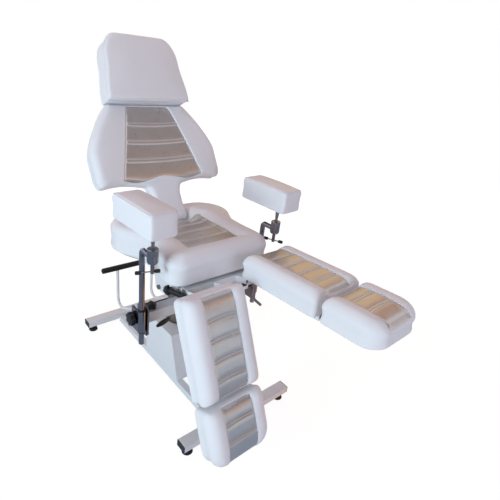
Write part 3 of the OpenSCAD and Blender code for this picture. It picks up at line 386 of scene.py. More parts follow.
@dataclass(frozen=True, kw_only=True)
class Leatherette(Surface):
    """Coated fabric embossed with a pebble grain, which breaks up its gloss a little.

    Attributes:
        crease_depth: Height of the slow ripples of a cover pulled over foam, metres.
    """

    crease_depth: float

    def grain(self, tree: Tree, place: Socket) -> Socket:
        """Pebbles from cells of the grain size, over slow ripples 70 mm apart in the cover."""
        cells = add_node(tree, "TexVoronoi", {"Scale": 1 / self.grain_size},
                         {"Vector": place}, feature="SMOOTH_F1")
        ripples = noise(tree, place, 14.0, 2.0, distortion=0.6)
        return add_node(tree, "Math", {1: self.crease_depth / self.grain_depth},
                        {0: ripples, 2: cells.outputs["Distance"]},
                        operation="MULTIPLY_ADD").outputs["Value"]


class Finish(Enum):
    """Every finish on the chair."""

    # Imitation leather: polyurethane on fabric, calendered. Soft sheen, faint pebbles.
    WHITE_VINYL = Leatherette(
        "white imitation leather", "#eceef2", 0.40, 0.02, grain_size=0.0018, grain_depth=0.00003,
        wear=0.05, crease_depth=0.0011)
    # The same cover with aluminium flake in its top coat: grey, with broad soft reflections.
    SILVER_VINYL = Leatherette(
        "silver metallic imitation leather", "#d0cac8", 0.30, 0.06, metallic=0.88,
        mottle_size=0.08, grain_size=0.0030, grain_depth=0.000003, wear=0.03, crease_depth=0.0004)
    # Polyester epoxy powder coat on steel tube: bright, slightly orange-peeled.
    WHITE_PAINT = Surface(
        "white powder coat", "#e9edf1", 0.33, 0.015, coat=0.25, grain_size=0.004,
        grain_depth=0.00003, bevel=0.002)
    # Ground steel with a film of oil.
    BARE_STEEL = Surface(
        "ground steel", "#8f867e", 0.36, 0.12, metallic=0.9, mottle_size=0.05, grain_size=0.0008,
        bevel=0.001)
    # Bright chrome plate over nickel. Its colour is darker and its mottle stronger than the plate's
    # own: a painted reflection of a dark room, in patches.
    CHROME = Surface(
        "chrome plate", "#96959c", 0.13, 0.25, metallic=1.0, mottle_size=0.05, bevel=0.001)
    # Moulded ABS and nylon, dull black.
    BLACK_PLASTIC = Surface("black moulded plastic", "#191a1d", 0.42, 0.15, bevel=0.0015)
    # Moulded rubber: darker and duller than the plastic.
    BLACK_RUBBER = Surface("black rubber", "#141416", 0.62, 0.2, bevel=0.002)
    # Birch plywood board, coloured light grey.
    BOARD = Surface("grey plywood board", "#a9aeb4", 0.75, 0.10, bevel=0.001)
    # Black non-woven dust cover under a cushion: dull, with short fibres.
    LINING = Surface(
        "black non-woven lining", "#26272a", 0.9, 0.25, mottle_size=0.02, grain_size=0.001,
        grain_depth=0.0001)
    # Silver-grey piping cord in the seams of the inserts.
    PIPING = Surface("pale piping", "#dfe1e8", 0.34, 0.03)

    def material(self) -> bpy.types.Material:
        """The finish's material, made once."""
        return bpy.data.materials.get(self.value.title) or self.value.build()


def dress(piece: Piece, finish: Finish) -> None:
    """Gives a piece one finish all over."""
    piece.data.materials.clear()
    piece.data.materials.append(finish.material())


# ---------- cushions ----------

SWELL_FRAMES, EVEN_PASSES = 20, 24  # steps of the cloth, passes that even out its moves
BOARD_HOLD, SWELL_FADE = 0.007, 0.055  # height that the board holds, and that of full swell
RING_POINTS = 60  # points along each side of a cushion's outline
# Height map of a face: spacing of its grid, passes that fill holes, passes that smooth it.
MAP_STEP, FILL_PASSES, BLUR_PASSES = 0.004, 40, 7
SEAM_WIDTH, SEAM_DEPTH = 0.0035, 0.0022  # drawn-in seams round the sides
# Sewn channels: reach of their arch, a stitch line's distance from its welt, its width.
ARCH_REACH, STITCH_OFF, STITCH_WIDTH = 0.026, 0.0010, 0.0018
BED_DEPTH, BED_SLOPE = 0.007, 0.007  # recess under an insert, and the width of its slope
# Sheet of an insert: points across, spacing along, thickness, rise over its place.
SHEET_COLUMNS, SHEET_STEP, SHEET_THICK, SHEET_RISE = 61, 0.0011, 0.0065, 0.0004
# Its turned-down border: radius, depth, and the width over which the channels fade.
BORDER_R, BORDER_DEEP, BORDER_FADE = 0.0045, 0.0040, 0.014
# Piping beside an insert: points, radius, distance from the insert, depth below the cover.
PIPING_POINTS, PIPING_R, PIPING_OUT, PIPING_DEEP = 160, 0.0021, 0.0006, 0.0022
# Cords round a cushion: spacing of points, band of the cover that they follow, reach of the
# running mean in points, rise over the cover.
CORD_STEP, CORD_BAND, CORD_MEAN, CORD_RISE = 0.006, 0.03, 4, 0.0003
# Lining: inset, and how far it stands below and into the underside.
LINING_INSET, LINING_BELOW, LINING_INTO = 0.016, 0.0008, 0.003


@dataclass(frozen=True)
class PadFrame:
    """Where a cushion's own frame stands on the chair.

    Attributes:
        origin: Place of its zero point.
        axes: 3 x 3 matrix whose columns are x, v and h.
    """

    origin: Array
    axes: Array

    @classmethod
    def leaning(cls, face: tuple[float, float, float], lean: float, depth: float) -> "PadFrame":
        """Frame of an upright cushion that leans back.

        Args:
            face: Place of its face where x and v are 0.
            lean: Its lean, radians.
            depth: How far its underside lies behind that place.

        Returns:
            The frame, with v up along the cushion and h forward.
        """
        turn = turned(-lean)
        upright = np.array([[1, 0, 0], [0, 0, -1], [0, 1, 0]])
        return cls(np.array(face) + turn @ np.array([0, depth, 0]), turn @ upright)

    def place(self, local: Array) -> Array:
        """Turns N x 3 places in the cushion's frame to the chair's frame."""
        return self.origin + local @ self.axes.T


def block_sums(padded: Array) -> Array:
    """Sums of the 3 x 3 blocks of a grid that was padded by one on each side."""
    rows, columns = padded.shape
    return sum(padded[i : rows - 2 + i, j : columns - 2 + j] for i in range(3) for j in range(3))


@dataclass
class HeightMap:
    """Height of a cushion's face over its own plan, on a square grid.

    Attributes:
        low: Least x and v of the grid.
        values: Heights, x by v.
    """

    low: Array
    values: Array

    @classmethod
    def of(cls, points: Array) -> "HeightMap":
        """Reads the heights from points on the face.

        Each grid cell takes the highest point in it, empty cells take the mean of their filled
        neighbours, and a few passes of a 3 x 3 mean smooth the result.

        Args:
            points: N x 3 places in the cushion's frame.

        Returns:
            The map.
        """
        low = points[:, :2].min(0) - 2 * MAP_STEP
        size = np.ceil((points[:, :2].max(0) - low) / MAP_STEP).astype(int) + 3
        grid = np.full(size, -1.0)
        cell = np.round((points[:, :2] - low) / MAP_STEP).astype(int)
        np.maximum.at(grid, (cell[:, 0], cell[:, 1]), points[:, 2])
        for _ in range(FILL_PASSES):
            empty = grid < 0
            if not empty.any():
                break
            total = block_sums(np.pad(np.where(empty, 0, grid), 1))
            count = block_sums(np.pad((~empty).astype(float), 1))
            grid = np.where(empty & (count > 0), total / np.maximum(count, 1), grid)
        for _ in range(BLUR_PASSES):
            grid = block_sums(np.pad(grid, 1, mode="edge")) / 9
        return cls(low, grid)

    def at(self, x: Array, v: Array) -> Array:
        """Height at each x and v, mixed from the four nearest grid values."""
        a = np.clip((x - self.low[0]) / MAP_STEP, 0, self.values.shape[0] - 1.001)
        b = np.clip((v - self.low[1]) / MAP_STEP, 0, self.values.shape[1] - 1.001)
        i, j = a.astype(int), b.astype(int)
        p, q = a - i, b - j
        g = self.values
        return ((1 - p) * (1 - q) * g[i, j] + p * (1 - q) * g[i + 1, j]
                + (1 - p) * q * g[i, j + 1] + p * q * g[i + 1, j + 1])


@dataclass
class Insert:
    """The silver panel sewn into a cushion's face.

    Attributes:
        half: Half its width at v.
        lower: Its lower edge as a function of x.
        upper: Its upper edge as a function of x.
        seams: Places of its cross seams along v.
        bow: How far a seam's middle lies below its ends along v.
        welt: Height of the welt that stands along a seam.
        sink: How far the panel lies below the cushion around it.
        puff: How far a panel swells between its seams.
        double: Width of the welt, between the two stitch lines of a seam.
        stitch: Depth of the stitch lines beside it.
        piped: Whether a piping cord runs along the sides.
    """

    half: Curve
    lower: Curve
    upper: Curve
    seams: list[float]
    bow: float
    welt: float
    sink: float = 0.003
    puff: float = 0.0025
    double: float = 0.009
    stitch: float = 0.0013
    piped: bool = True

    def inside(self, x: Array, v: Array) -> Array:
        """Distance in from the panel's edge, below 0 outside: the least of the four sides'."""
        return np.minimum(np.minimum(self.half(v) - np.abs(x), v - self.lower(x)),
                          self.upper(x) - v)

    def along(self, x: Array, t: Array) -> Array:
        """Place along v at the share t of the way from the lower edge to the upper one."""
        return self.lower(x) + (self.upper(x) - self.lower(x)) * t

    def seam_offset(self, x: Array, v: Array) -> Array:
        """Signed distance along v from the nearest bowed seam."""
        ratio = np.abs(x) / np.maximum(self.half(v), 0.01)
        lines = np.array(self.seams)[:, None] - self.bow * (1 - ratio**2)
        gaps = v[None] - lines
        return np.take_along_axis(gaps, np.abs(gaps).argmin(0)[None], 0)[0]

    def relief(self, x: Array, v: Array) -> Array:
        """Height of the sewn channels over the panel's level.

        Between seams the panel swells as a flattened arch. At a seam a half-round welt stands
        between two narrow stitched grooves.
        """
        off = np.abs(self.seam_offset(x, v))
        arch = self.puff * (1 - (1 - np.clip(off / ARCH_REACH, 0, 1)) ** 2)
        half = self.double / 2
        welt = self.welt * np.cos(np.clip(off / half, 0, 1) * math.pi / 2)
        stitch = self.stitch * np.exp(-((off - half - STITCH_OFF) / STITCH_WIDTH) ** 2)
        return arch + welt - stitch


@dataclass
class Cushion:
    """One foam cushion: a rounded block over its outline, swollen by a cloth simulation.

    Attributes:
        name: Name of the piece.
        node: CAD node that it stands for.
        body: CAD body that it rides on.
        frame: Its place on the chair.
        width: Half its width at v.
        span: Its ends along v.
        thick: Its thickness.
        round_r: Radius of its upper edge.
        notch: Corners of a notch in its upper end, or None.
        lift: Height added to its face at x and v.
        skew: Change of v at x and v, for an end that isn't straight.
        insert: Its silver panel, or None.
        waist: How far its sides pull in.
        voxel: Size of the remesh.
        cap: Farthest that the simulation may move a point.
        welts: Heights of the seams that run round its sides.
        cords: Insets and heights of the piping cords that run round it.
        cord_r: Radius of those cords.
        tab: A smaller form that grows out of this one, or None.
        piece: The cushion's own piece once made.
        trim: Its panel, cords and lining once made.
    """

    name: str
    node: str
    body: str
    frame: PadFrame
    width: Curve
    span: tuple[float, float]
    thick: float
    round_r: float
    notch: Array | None = None
    lift: Relief | None = None
    skew: Relief | None = None
    insert: Insert | None = None
    waist: float = 0.004
    voxel: float = 0.005
    cap: float = 0.006
    welts: list[float] = field(default_factory=list)
    cords: list[tuple[float, float]] = field(default_factory=list)
    cord_r: float = 0.0019
    tab: "Cushion | None" = None
    piece: Piece | None = None
    trim: list[Piece] = field(default_factory=list)

    def ring(self, inset: float, low: float) -> Array:
        """Outline drawn in by inset: (+-(width - inset), v) with v squeezed by the inset.

        Args:
            inset: Distance in from the outline.
            low: Height of the ring.

        Returns:
            Points of the closed ring, N x 3.
        """
        start, end = self.span
        share = np.sin(np.linspace(0.0, math.pi / 2, RING_POINTS)[1:-1]) ** 2
        base = np.concatenate([[start], start + (end - start) * share, [end]])
        squeezed = start + inset + (base - start) * (end - start - 2 * inset) / (end - start)
        half = np.maximum(self.width(base) - inset, 0.004)
        right = np.stack([half, squeezed], 1)
        middle = np.zeros((0, 2))
        if self.notch is not None:
            middle = self.notch.copy()
            middle[:, 0] += np.sign(middle[:, 0]) * inset
            middle[:, 1] -= inset
            middle[middle[:, 1] > end - inset - 1e-4, 1] = end - inset
        left = np.stack([-half, squeezed], 1)[::-1]
        flat = np.concatenate([right, middle, left])
        return np.column_stack([flat, np.full(len(flat), low)])

    def profile(self) -> list[tuple[float, float]]:
        """Pairs of inset and height from the underside, up the drawn-in side, over the edge."""
        foot, rise, r, steps = 0.008, self.thick - self.round_r, self.round_r, 6
        side = [(self.waist * math.sin(math.pi * k / steps), foot + (rise - foot) * k / steps)
                for k in range(steps + 1)]
        over = [(r * (1 - math.cos(a)), rise + r * math.sin(a))
                for a in np.linspace(0, math.pi / 2, steps + 1)[1:]]
        under = [(0.010, 0.0), (0.003, 0.002)]
        return under + side + over

    def skin(self) -> tuple[Array, list]:
        """Points and faces of the closed block, skinned over the rings of its profile."""
        return stacked([self.ring(inset, height) for inset, height in self.profile()])

    def build_form(self) -> None:
        """Makes the block, with its tab grown together with it, of even quads."""
        points, faces = self.skin()
        if self.tab:
            more, others = self.tab.skin()
            faces += [[i + len(points) for i in face] for face in others]
            points = np.concatenate([points, more])
        self.piece = new_piece(self.name, points, faces)
        remesh = self.piece.modifiers.new("even", "REMESH")
        remesh.mode = "VOXEL"
        remesh.voxel_size = self.voxel
        relax = self.piece.modifiers.new("relax", "SMOOTH")
        relax.factor, relax.iterations = 0.5, 6
        bake_modifiers(self.piece)
        self.piece.data.shade_smooth()
        points = read_points(self.piece.data)
        # The lift fades in over the upper part of the sides.
        share = soft((points[:, 2] / self.thick - 0.25) / 0.7)
        if self.lift:
            points[:, 2] += share * self.lift(points[:, 0], points[:, 1])
        if self.skew:
            points[:, 1] += self.skew(points[:, 0], points[:, 1])
        write_points(self.piece.data, points)

    def start_swell(self) -> None:
        """Gives the form a cloth with air pressure in it, held at its board."""
        points = read_points(self.piece.data)
        group = self.piece.vertex_groups.new(name="board")
        group.add(np.flatnonzero(points[:, 2] < BOARD_HOLD).tolist(), 1.0, "REPLACE")
        cloth = self.piece.modifiers.new("swell", "CLOTH")
        cloth.point_cache.frame_start, cloth.point_cache.frame_end = 1, SWELL_FRAMES
        sets = cloth.settings
        sets.quality, sets.mass = 4, 0.25
        sets.tension_stiffness = sets.compression_stiffness = 22
        sets.bending_stiffness = 3.0
        sets.vertex_group_mass = "board"
        sets.use_pressure, sets.uniform_pressure_force = True, 4.0
        sets.effector_weights.gravity = 0

    def end_swell(self, before: Array) -> None:
        """Takes the swollen shape: the outward part of each move, capped and evened out.

        Args:
            before: Places of the points before the simulation.
        """
        bake_modifiers(self.piece)
        mesh = self.piece.data
        moved = read_points(mesh) - before
        write_points(mesh, before)
        normals = read_normals(mesh)
        push = np.maximum((moved * normals).sum(1), 0)
        # The farthest 3% of the points are held at the cap, and the move fades out at the board.
        push *= self.cap / max(float(np.percentile(push, 97)), 1e-5)
        push = even_out(mesh, np.minimum(push, self.cap), EVEN_PASSES)
        push *= soft(before[:, 2] / SWELL_FADE)
        write_points(mesh, before + push[:, None] * normals)
        self.piece.vertex_groups.clear()

    def add_trim(self, piece: Piece, finish: Finish) -> None:
        """Dresses a piece of trim and keeps it with the cushion."""
        dress(piece, finish)
        self.trim.append(piece)

    def finish_form(self) -> None:
        """Subdivides once, draws in the side seams, beds the panel and makes the trim."""
        smooth = self.piece.modifiers.new("fine", "SUBSURF")
        smooth.levels = smooth.render_levels = 1
        bake_modifiers(self.piece)
        mesh = self.piece.data
        points, normals = read_points(mesh), read_normals(mesh)
        up = soft((normals[:, 2] - 0.2) / 0.5)
        face = HeightMap.of(points[points[:, 2] > 0.4 * self.thick])
        side = 1 - soft((np.abs(normals[:, 2]) - 0.55) / 0.3)
        for height in self.welts:
            line = np.exp(-((points[:, 2] - height) / SEAM_WIDTH) ** 2) * side
            points -= SEAM_DEPTH * line[:, None] * normals
        for number, (inset, height) in enumerate(self.cords):
            self.lay_cord(f"{self.name}_cord_{number + 1}", inset, height, points, normals)
        if self.insert:
            deep = self.insert.inside(points[:, 0], points[:, 1])
            points[:, 2] -= up * (BED_DEPTH + self.insert.sink) * soft((deep + 0.001) / BED_SLOPE)
            self.build_panel(face)
        self.build_lining(points)
        write_points(mesh, self.frame.place(points))
        mesh.shade_smooth()
        dress(self.piece, Finish.WHITE_VINYL)

    def lay_cord(self, name: str, inset: float, height: float, points: Array,
                 normals: Array) -> None:
        """Lays a piping cord round the cushion, half sunk in its cover.

        The cord follows the outline at this inset and height, moved to the nearest place of the
        cover. The moves are evened out along the cord by a running mean.

        Args:
            name: Name of the piece.
            inset: Distance in from the outline.
            height: Height over the underside.
            points: Places of the cover.
            normals: Its normals.
        """
        ring = self.ring(inset, height)
        steps = np.linalg.norm(np.roll(ring, -1, 0) - ring, axis=1)
        along = np.concatenate([[0], np.cumsum(steps)])
        even = np.linspace(0, along[-1], int(along[-1] / CORD_STEP), endpoint=False)
        looped = np.vstack([ring, ring[:1]])
        path = np.stack([np.interp(even, along, looped[:, k]) for k in range(3)], 1)
        band = np.abs(points[:, 2] - height) < CORD_BAND
        near, facing = points[band], normals[band]
        parts = np.array_split(path, len(path) // 40 + 1)  # keeps the distances' table small
        best = np.concatenate([((part[:, None] - near[None]) ** 2).sum(2).argmin(1)
                               for part in parts])
        out = facing[best]
        shift = ((near[best] - path) * out).sum(1)[:, None] * out
        window = range(-CORD_MEAN, CORD_MEAN + 1)
        mean = sum(np.roll(shift, k, 0) for k in window) / len(window)
        laid = self.frame.place(path + mean + out * CORD_RISE)
        self.add_trim(swept_tube(name, laid, self.cord_r, closed=True), Finish.WHITE_VINYL)

    def build_lining(self, points: Array) -> None:
        """Black lining stapled under the cushion, a little inside its outline."""
        low = self.ring(LINING_INSET, 0.0)
        if self.skew:
            low[:, 1] += self.skew(low[:, 0], low[:, 1])
        high = low.copy()
        base = points[:, 2].min()
        low[:, 2], high[:, 2] = base - LINING_BELOW, base + LINING_INTO
        places, faces = stacked([low, high])
        lining = new_piece(self.name + "_lining", self.frame.place(places), faces, smooth=False)
        self.add_trim(lining, Finish.LINING)

    def build_panel(self, face: HeightMap) -> None:
        """Lays the silver panel over the recess as a fine sheet with its sewn channels.

        The panel is a grid: x = a * half(v), v between its lower and upper edges, and h from the
        cushion's own height, less the sink, plus the channels. Its border turns down into the
        seam, and a second, lower layer closes it.

        Args:
            face: Height of the cushion's face.
        """
        insert = self.insert
        start, end = (float(line(np.zeros(1))[0]) for line in (insert.lower, insert.upper))
        shape = SHEET_COLUMNS, max(int((end - start) / SHEET_STEP), 20)
        a, t = (grid.ravel() for grid in np.meshgrid(
            np.linspace(-1, 1, shape[0]), np.linspace(0, 1, shape[1]), indexing="ij"))
        v = insert.along(a * insert.half(start + (end - start) * t), t)
        x = a * insert.half(v)
        edge = np.minimum(insert.half(v) * (1 - np.abs(a)), np.minimum(t, 1 - t) * (end - start))
        level = face.at(x, v) - insert.sink
        top = (level + insert.relief(x, v) * soft(edge / BORDER_FADE)
               - BORDER_DEEP * drop(edge, BORDER_R) + SHEET_RISE)
        places = np.concatenate([np.column_stack([x, v, h]) for h in (top, level - SHEET_THICK)])
        n = len(x)
        index = np.arange(n).reshape(shape)
        rim = np.concatenate([index[0], index[1:, -1], index[-1, -2::-1], index[-2:0:-1, 0]])
        wrap = np.roll(rim, -1)
        faces = grid_faces(*shape)
        sides = np.stack([rim + n, wrap + n, wrap, rim], -1)
        quads = np.concatenate([faces, faces[:, ::-1] + n, sides])
        panel = new_piece(self.name + "_panel", self.frame.place(places), quads)
        self.add_trim(panel, Finish.SILVER_VINYL)
        if insert.piped:
            self.lay_piping(face, start, end)

    def lay_piping(self, face: HeightMap, start: float, end: float) -> None:
        """Lays a pale cord along each side of the silver panel.

        Args:
            face: Height of the cushion's face.
            start: The panel's lower end in its middle.
            end: The panel's upper end there.
        """
        insert = self.insert
        share = np.linspace(0, 1, PIPING_POINTS)
        for sign, word in ((1, "a"), (-1, "b")):
            v = insert.along(sign * insert.half(np.linspace(start, end, PIPING_POINTS)), share)
            x = sign * (insert.half(v) + PIPING_OUT)
            path = self.frame.place(np.column_stack([x, v, face.at(x, v) - PIPING_DEEP]))
            cord = swept_tube(f"{self.name}_piping_{word}", path, PIPING_R)
            self.add_trim(cord, Finish.PIPING)

    def hand_over(self) -> None:
        """Hangs the pieces on the body that they ride on and hides the CAD node that they stand
        for.
        """
        for piece in [self.piece, *self.trim]:
            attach(piece, self.body)
        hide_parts(self.node)
        LOG.info("%s: %d faces", self.name, len(self.piece.data.polygons))


def level_line(value: float) -> Curve:
    """A curve that keeps one value."""
    return lambda t: value + 0 * t


@dataclass
class Upholstery:
    """All cushions of the chair and the sizes that place them.

    Attributes:
        post_y: Place of the armrest posts' line, from which the sizes are counted.
        back_lean: Lean of the backrest, radians.
        head_lean: Lean of the head cushion, radians.
        leg_angles: Angle of each leg rest below level, radians.
        leg_middle: Distance of a leg rest's middle from the chair's middle.
        arm_yaw: Turn of the arm pads, radians.
        seat_base: Height of the seat cushion's underside.
    """

    post_y: float
    back_lean: float = math.radians(31.9)
    head_lean: float = math.radians(27.6)
    leg_angles: dict[str, float] = field(default_factory=lambda: {
        "left": math.radians(-4), "right": math.radians(65.2)})
    leg_middle: float = 0.1643
    arm_yaw: float = math.radians(3.7)
    seat_base: float = 0.647

    def seat(self) -> Cushion:
        """Seat cushion: a bucket with a raised rim, lobes at the rear and a notch for the neck."""
        start, end = -0.126, 0.392
        front_half, waist_half, rear_half = 0.240, 0.231, 0.285
        front_r, rear_r = 0.060, 0.122  # corner rounds
        waist_v, lobe_v, rear_v = -0.066, 0.07, 0.27  # where each stretch starts along v

        def width(v: Array) -> Array:
            """Half width: front corners, a waist beside the posts, rear lobes."""
            front = front_half - front_r * drop(v - start, front_r)
            waist = front_half - (front_half - waist_half) * soft((v - waist_v) / 0.110)
            lobe = waist_half + (rear_half - waist_half) * soft((v - 0.110) / 0.150)
            rear = rear_half - rear_r * drop(end - v, rear_r)
            return np.select([v < waist_v, v < lobe_v, v < rear_v], [front, waist, lobe], rear)

        insert = Insert(half=lambda v: 0.124 - 0.03 * soft((v - 0.235) / 0.03) ** 2,
                        lower=level_line(-0.0375), upper=level_line(0.258),
                        seams=[0.0364, 0.1103, 0.1841], bow=0.010, sink=0.002, double=0.008,
                        welt=0.0036, puff=0.0030, piped=False)

        def lift(x: Array, v: Array) -> Array:
            """Raised rim round a hollow, and a front edge that rolls down."""
            deep = insert.inside(x, v)
            rim = 0.007 * np.exp(-((deep + 0.050) / 0.035) ** 2)
            return rim - 0.020 * soft((deep + 0.035) / 0.065) - 0.010 * soft((-0.075 - v) / 0.05)

        out, inner, floor, slope = 0.084, 0.060, 0.226, 0.250
        notch = np.array([[out, end], [out, slope], [inner, floor], [-inner, floor],
                          [-out, slope], [-out, end]])
        return Cushion("seat_upholstery", "seat_cushion", "carriage",
                       PadFrame(np.array([0, self.post_y, self.seat_base]), np.eye(3)),
                       width, (start, end), 0.116, round_r=0.034, notch=notch, lift=lift,
                       insert=insert, voxel=0.006, cap=0.007)

    def back(self) -> Cushion:
        """Backrest cushion: wide wings at the bottom that taper to the top."""
        thick = 0.075
        frame = PadFrame.leaning((0, self.post_y + 0.3487, 0.9144), self.back_lean, thick)
        start, end = -0.034, 0.330
        wing_half, top_half = 0.304, 0.186

        def width(v: Array) -> Array:
            """Half width: round lower corners, straight wings, then a curve in to the top."""
            low = wing_half - 0.026 * drop(v - start, 0.044)
            taper = np.clip((v - 0.110) / 0.220, 0, 1) ** 1.35
            high = wing_half + (top_half - wing_half) * taper
            return np.where(v < 0.06, low, high)

        insert = Insert(half=lambda v: 0.196 - 0.092 * v / 0.315,
                        lower=lambda x: -0.006 + 0.010 * np.cos(np.abs(x) / 0.196 * 1.6 * math.pi),
                        upper=level_line(0.322), seams=[0.0795, 0.159, 0.2385], bow=0.006,
                        sink=0.004, double=0.018, welt=0.0026, stitch=0.0005, puff=0.0010,
                        piped=False)

        def lift(x: Array, v: Array) -> Array:
            """Wings that stand a little forward of the middle."""
            return 0.012 * soft((np.abs(x) - 0.08) / 0.2) - 0.006

        def skew(x: Array, v: Array) -> Array:
            """Lower edge that rises on each side of the neck."""
            t = np.clip((np.abs(x) - 0.080) / 0.224, 0, 1)
            fade = np.clip((end - v) / (end - start), 0, 1)
            return (0.016 * np.sin(math.pi * t) + 0.006 * t) * fade

        def neck_width(v: Array) -> Array:
            """Half width of the neck: flares a little at its foot and into the wings."""
            flare = 0.008 * soft((-0.110 - v) / 0.090) + 0.014 * soft((v + 0.075) / 0.055)
            return 0.072 + flare - 0.020 * drop(v + 0.200, 0.020)

        neck = Cushion("neck", "back_cushion", "back", frame, neck_width, (-0.200, 0.040), 0.061,
                       round_r=0.024)
        return Cushion("back_upholstery", "back_cushion", "back", frame, width, (start, end), thick,
                       round_r=0.030, lift=lift, skew=skew, insert=insert, voxel=0.0055, cap=0.006,
                       tab=neck)

    def head(self) -> Cushion:
        """Head cushion: a thick block that narrows to a rounded top."""
        frame = PadFrame.leaning((0, self.post_y + 0.486, 1.2313), self.head_lean, 0.100)
        start, end = -0.017, 0.256
        shoulder = 0.150  # where the upper corners start along v

        def width(v: Array) -> Array:
            """Half width: nearly straight sides and round upper corners."""
            low = 0.191 - 0.019 * soft(v / shoulder)
            high = 0.172 - 0.067 * drop(end - v, end - shoulder)
            return np.where(v < shoulder, low, high)

        def lift(x: Array, v: Array) -> Array:
            """A face that swells a little in its middle."""
            return 0.004 * (1 - (x / 0.19) ** 2) - 0.001

        return Cushion("head_upholstery", "head_cushion", "head", frame, width, (start, end), 0.101,
                       round_r=0.013, waist=0.002, cap=0.005, lift=lift, welts=[0.030, 0.058],
                       cords=[(0.002, 0.086)], cord_r=0.0022)

    def leg(self, side: str, foot: bool) -> Cushion:
        """Leg or foot cushion of one side: a block with round shoulders and a silver insert.

        Args:
            side: "left" or "right".
            foot: Whether it is the foot cushion.

        Returns:
            The cushion.
        """
        turn = turned(self.leg_angles[side])
        hinge = np.array([0, self.post_y - 0.199, 0.6415])
        underside = np.array([SIDES[side] * self.leg_middle, 0, 0.0136])
        frame = PadFrame(hinge + turn @ underside, turn)
        word = "foot" if foot else "leg"
        start, end = (-0.5915, -0.3665) if foot else (-0.3505, 0.0275)
        seams = [-0.508, -0.439] if foot else [-0.2785, -0.2070, -0.1355, -0.0640]
        # At the lower end: how much the corners take off the width, how far the face falls, and
        # the length over which each does so.
        corner, corner_l = (0.066, 0.066) if foot else (0.016, 0.020)
        fall, fall_l = (0.016, 0.110) if foot else (0.004, 0.06)

        def width(v: Array) -> Array:
            """Half width: small corner rounds, and a wide one at the foot cushion's nose."""
            nose = corner * drop(v - start, corner_l)
            return 0.130 - nose - 0.018 * drop(end - v, 0.022)

        def lift(x: Array, v: Array) -> Array:
            """Bolsters beside the insert, and a foot cushion that falls towards its nose."""
            bolster = 0.005 * np.exp(-((np.abs(x) - 0.096) / 0.026) ** 2)
            hollow = 0.004 * soft((0.080 - np.abs(x)) / 0.024)
            return bolster - hollow - fall * drop(v - start, fall_l)

        insert = Insert(half=level_line(0.0675), lower=level_line(start + 0.006),
                        upper=level_line(end - 0.007), seams=seams, bow=-0.004, welt=0.0020)
        return Cushion(f"{word}_upholstery_{side}", f"{word}_cushion_{side}", f"{word}_{side}",
                       frame, width, (start, end), 0.092, round_r=0.034, lift=lift, insert=insert,
                       voxel=0.0045, cap=0.005)

    def arm(self, side: str) -> Cushion:
        """Arm pad: a plain block, a little higher in its middle.

        Args:
            side: "left" or "right".

        Returns:
            The cushion.
        """
        c, s = math.cos(self.arm_yaw), math.sin(self.arm_yaw)
        frame = PadFrame(np.array([SIDES[side] * 0.2987, self.post_y - 0.0176, 0.8675]),
                         np.array([[c, -s, 0], [s, c, 0], [0, 0, 1]]))
        end = 0.125
        return Cushion(f"arm_upholstery_{side}", f"armrest_pad_{side}", f"pad_{side}", frame,
                       lambda v: 0.056 - 0.010 * drop(end - np.abs(v), 0.012), (-end, end), 0.095,
                       round_r=0.014, lift=lambda x, v: 0.003 - 0.004 * (v / end) ** 2,
                       voxel=0.0045, cap=0.004, waist=0.002, cords=[(0.004, 0.091)],
                       cord_r=0.0016)

    def build(self) -> None:
        """Builds every cushion. The cloths of all of them are stepped together."""
        cushions = [self.seat(), self.back(), self.head()]
        for side in SIDES:
            cushions += [self.leg(side, False), self.leg(side, True), self.arm(side)]
        for cushion in cushions:
            cushion.build_form()
        before = [read_points(c.piece.data) for c in cushions]
        for cushion in cushions:
            cushion.start_swell()
        for number in range(1, SWELL_FRAMES + 1):
            bpy.context.scene.frame_set(number)
        for cushion, places in zip(cushions, before):
            cushion.end_swell(places)
        bpy.context.scene.frame_set(1)
        for cushion in cushions:
            cushion.finish_form()
            cushion.hand_over()


# ---------- frame finishes ----------

# How the names of the CAD nodes with each finish start. All others are powder-coated white.
FINISHES = {
    Finish.BARE_STEEL: ("pump_cylinder", "lift_ram", "column_sleeve", "carriage_bolts",
                        "hinge_pins"),
    Finish.BLACK_RUBBER: ("levelling_feet", "pedal_grip"),
    Finish.CHROME: ("swivel_lock_lever", "head_frame", "foot_slide", "release_lever",
                    "armrest_bracket", "armrest_post", "armrest_stem", "armrest_screw"),
    Finish.BLACK_PLASTIC: ("base_end_caps", "pedal_block", "seat_rail_caps", "swivel_lock_grip",
                           "leg_lock_handle", "armrest_bush", "armrest_caps", "post_knob",
                           "slide_knob"),
    Finish.BOARD: ("seat_board",),
}


def finish_of(node: str) -> Finish:
    """The finish of a CAD node, by how its name starts."""
    found = (finish for finish, starts in FINISHES.items() if node.startswith(starts))
    return next(found, Finish.WHITE_PAINT)


# ---------- room ----------


@dataclass(frozen=True)
class Patch:
    """A soft patch of colour that only reflections see, as metal shows the room around it.

    Attributes:
        direction: Where it lies, seen from the chair.
        spread: Angle from its middle to its end, radians.
        colour: Its colour in sRGB hex.
        share: How far it hides the white.
    """

    direction: tuple[float, float, float]
    spread: float
    colour: str
    share: float


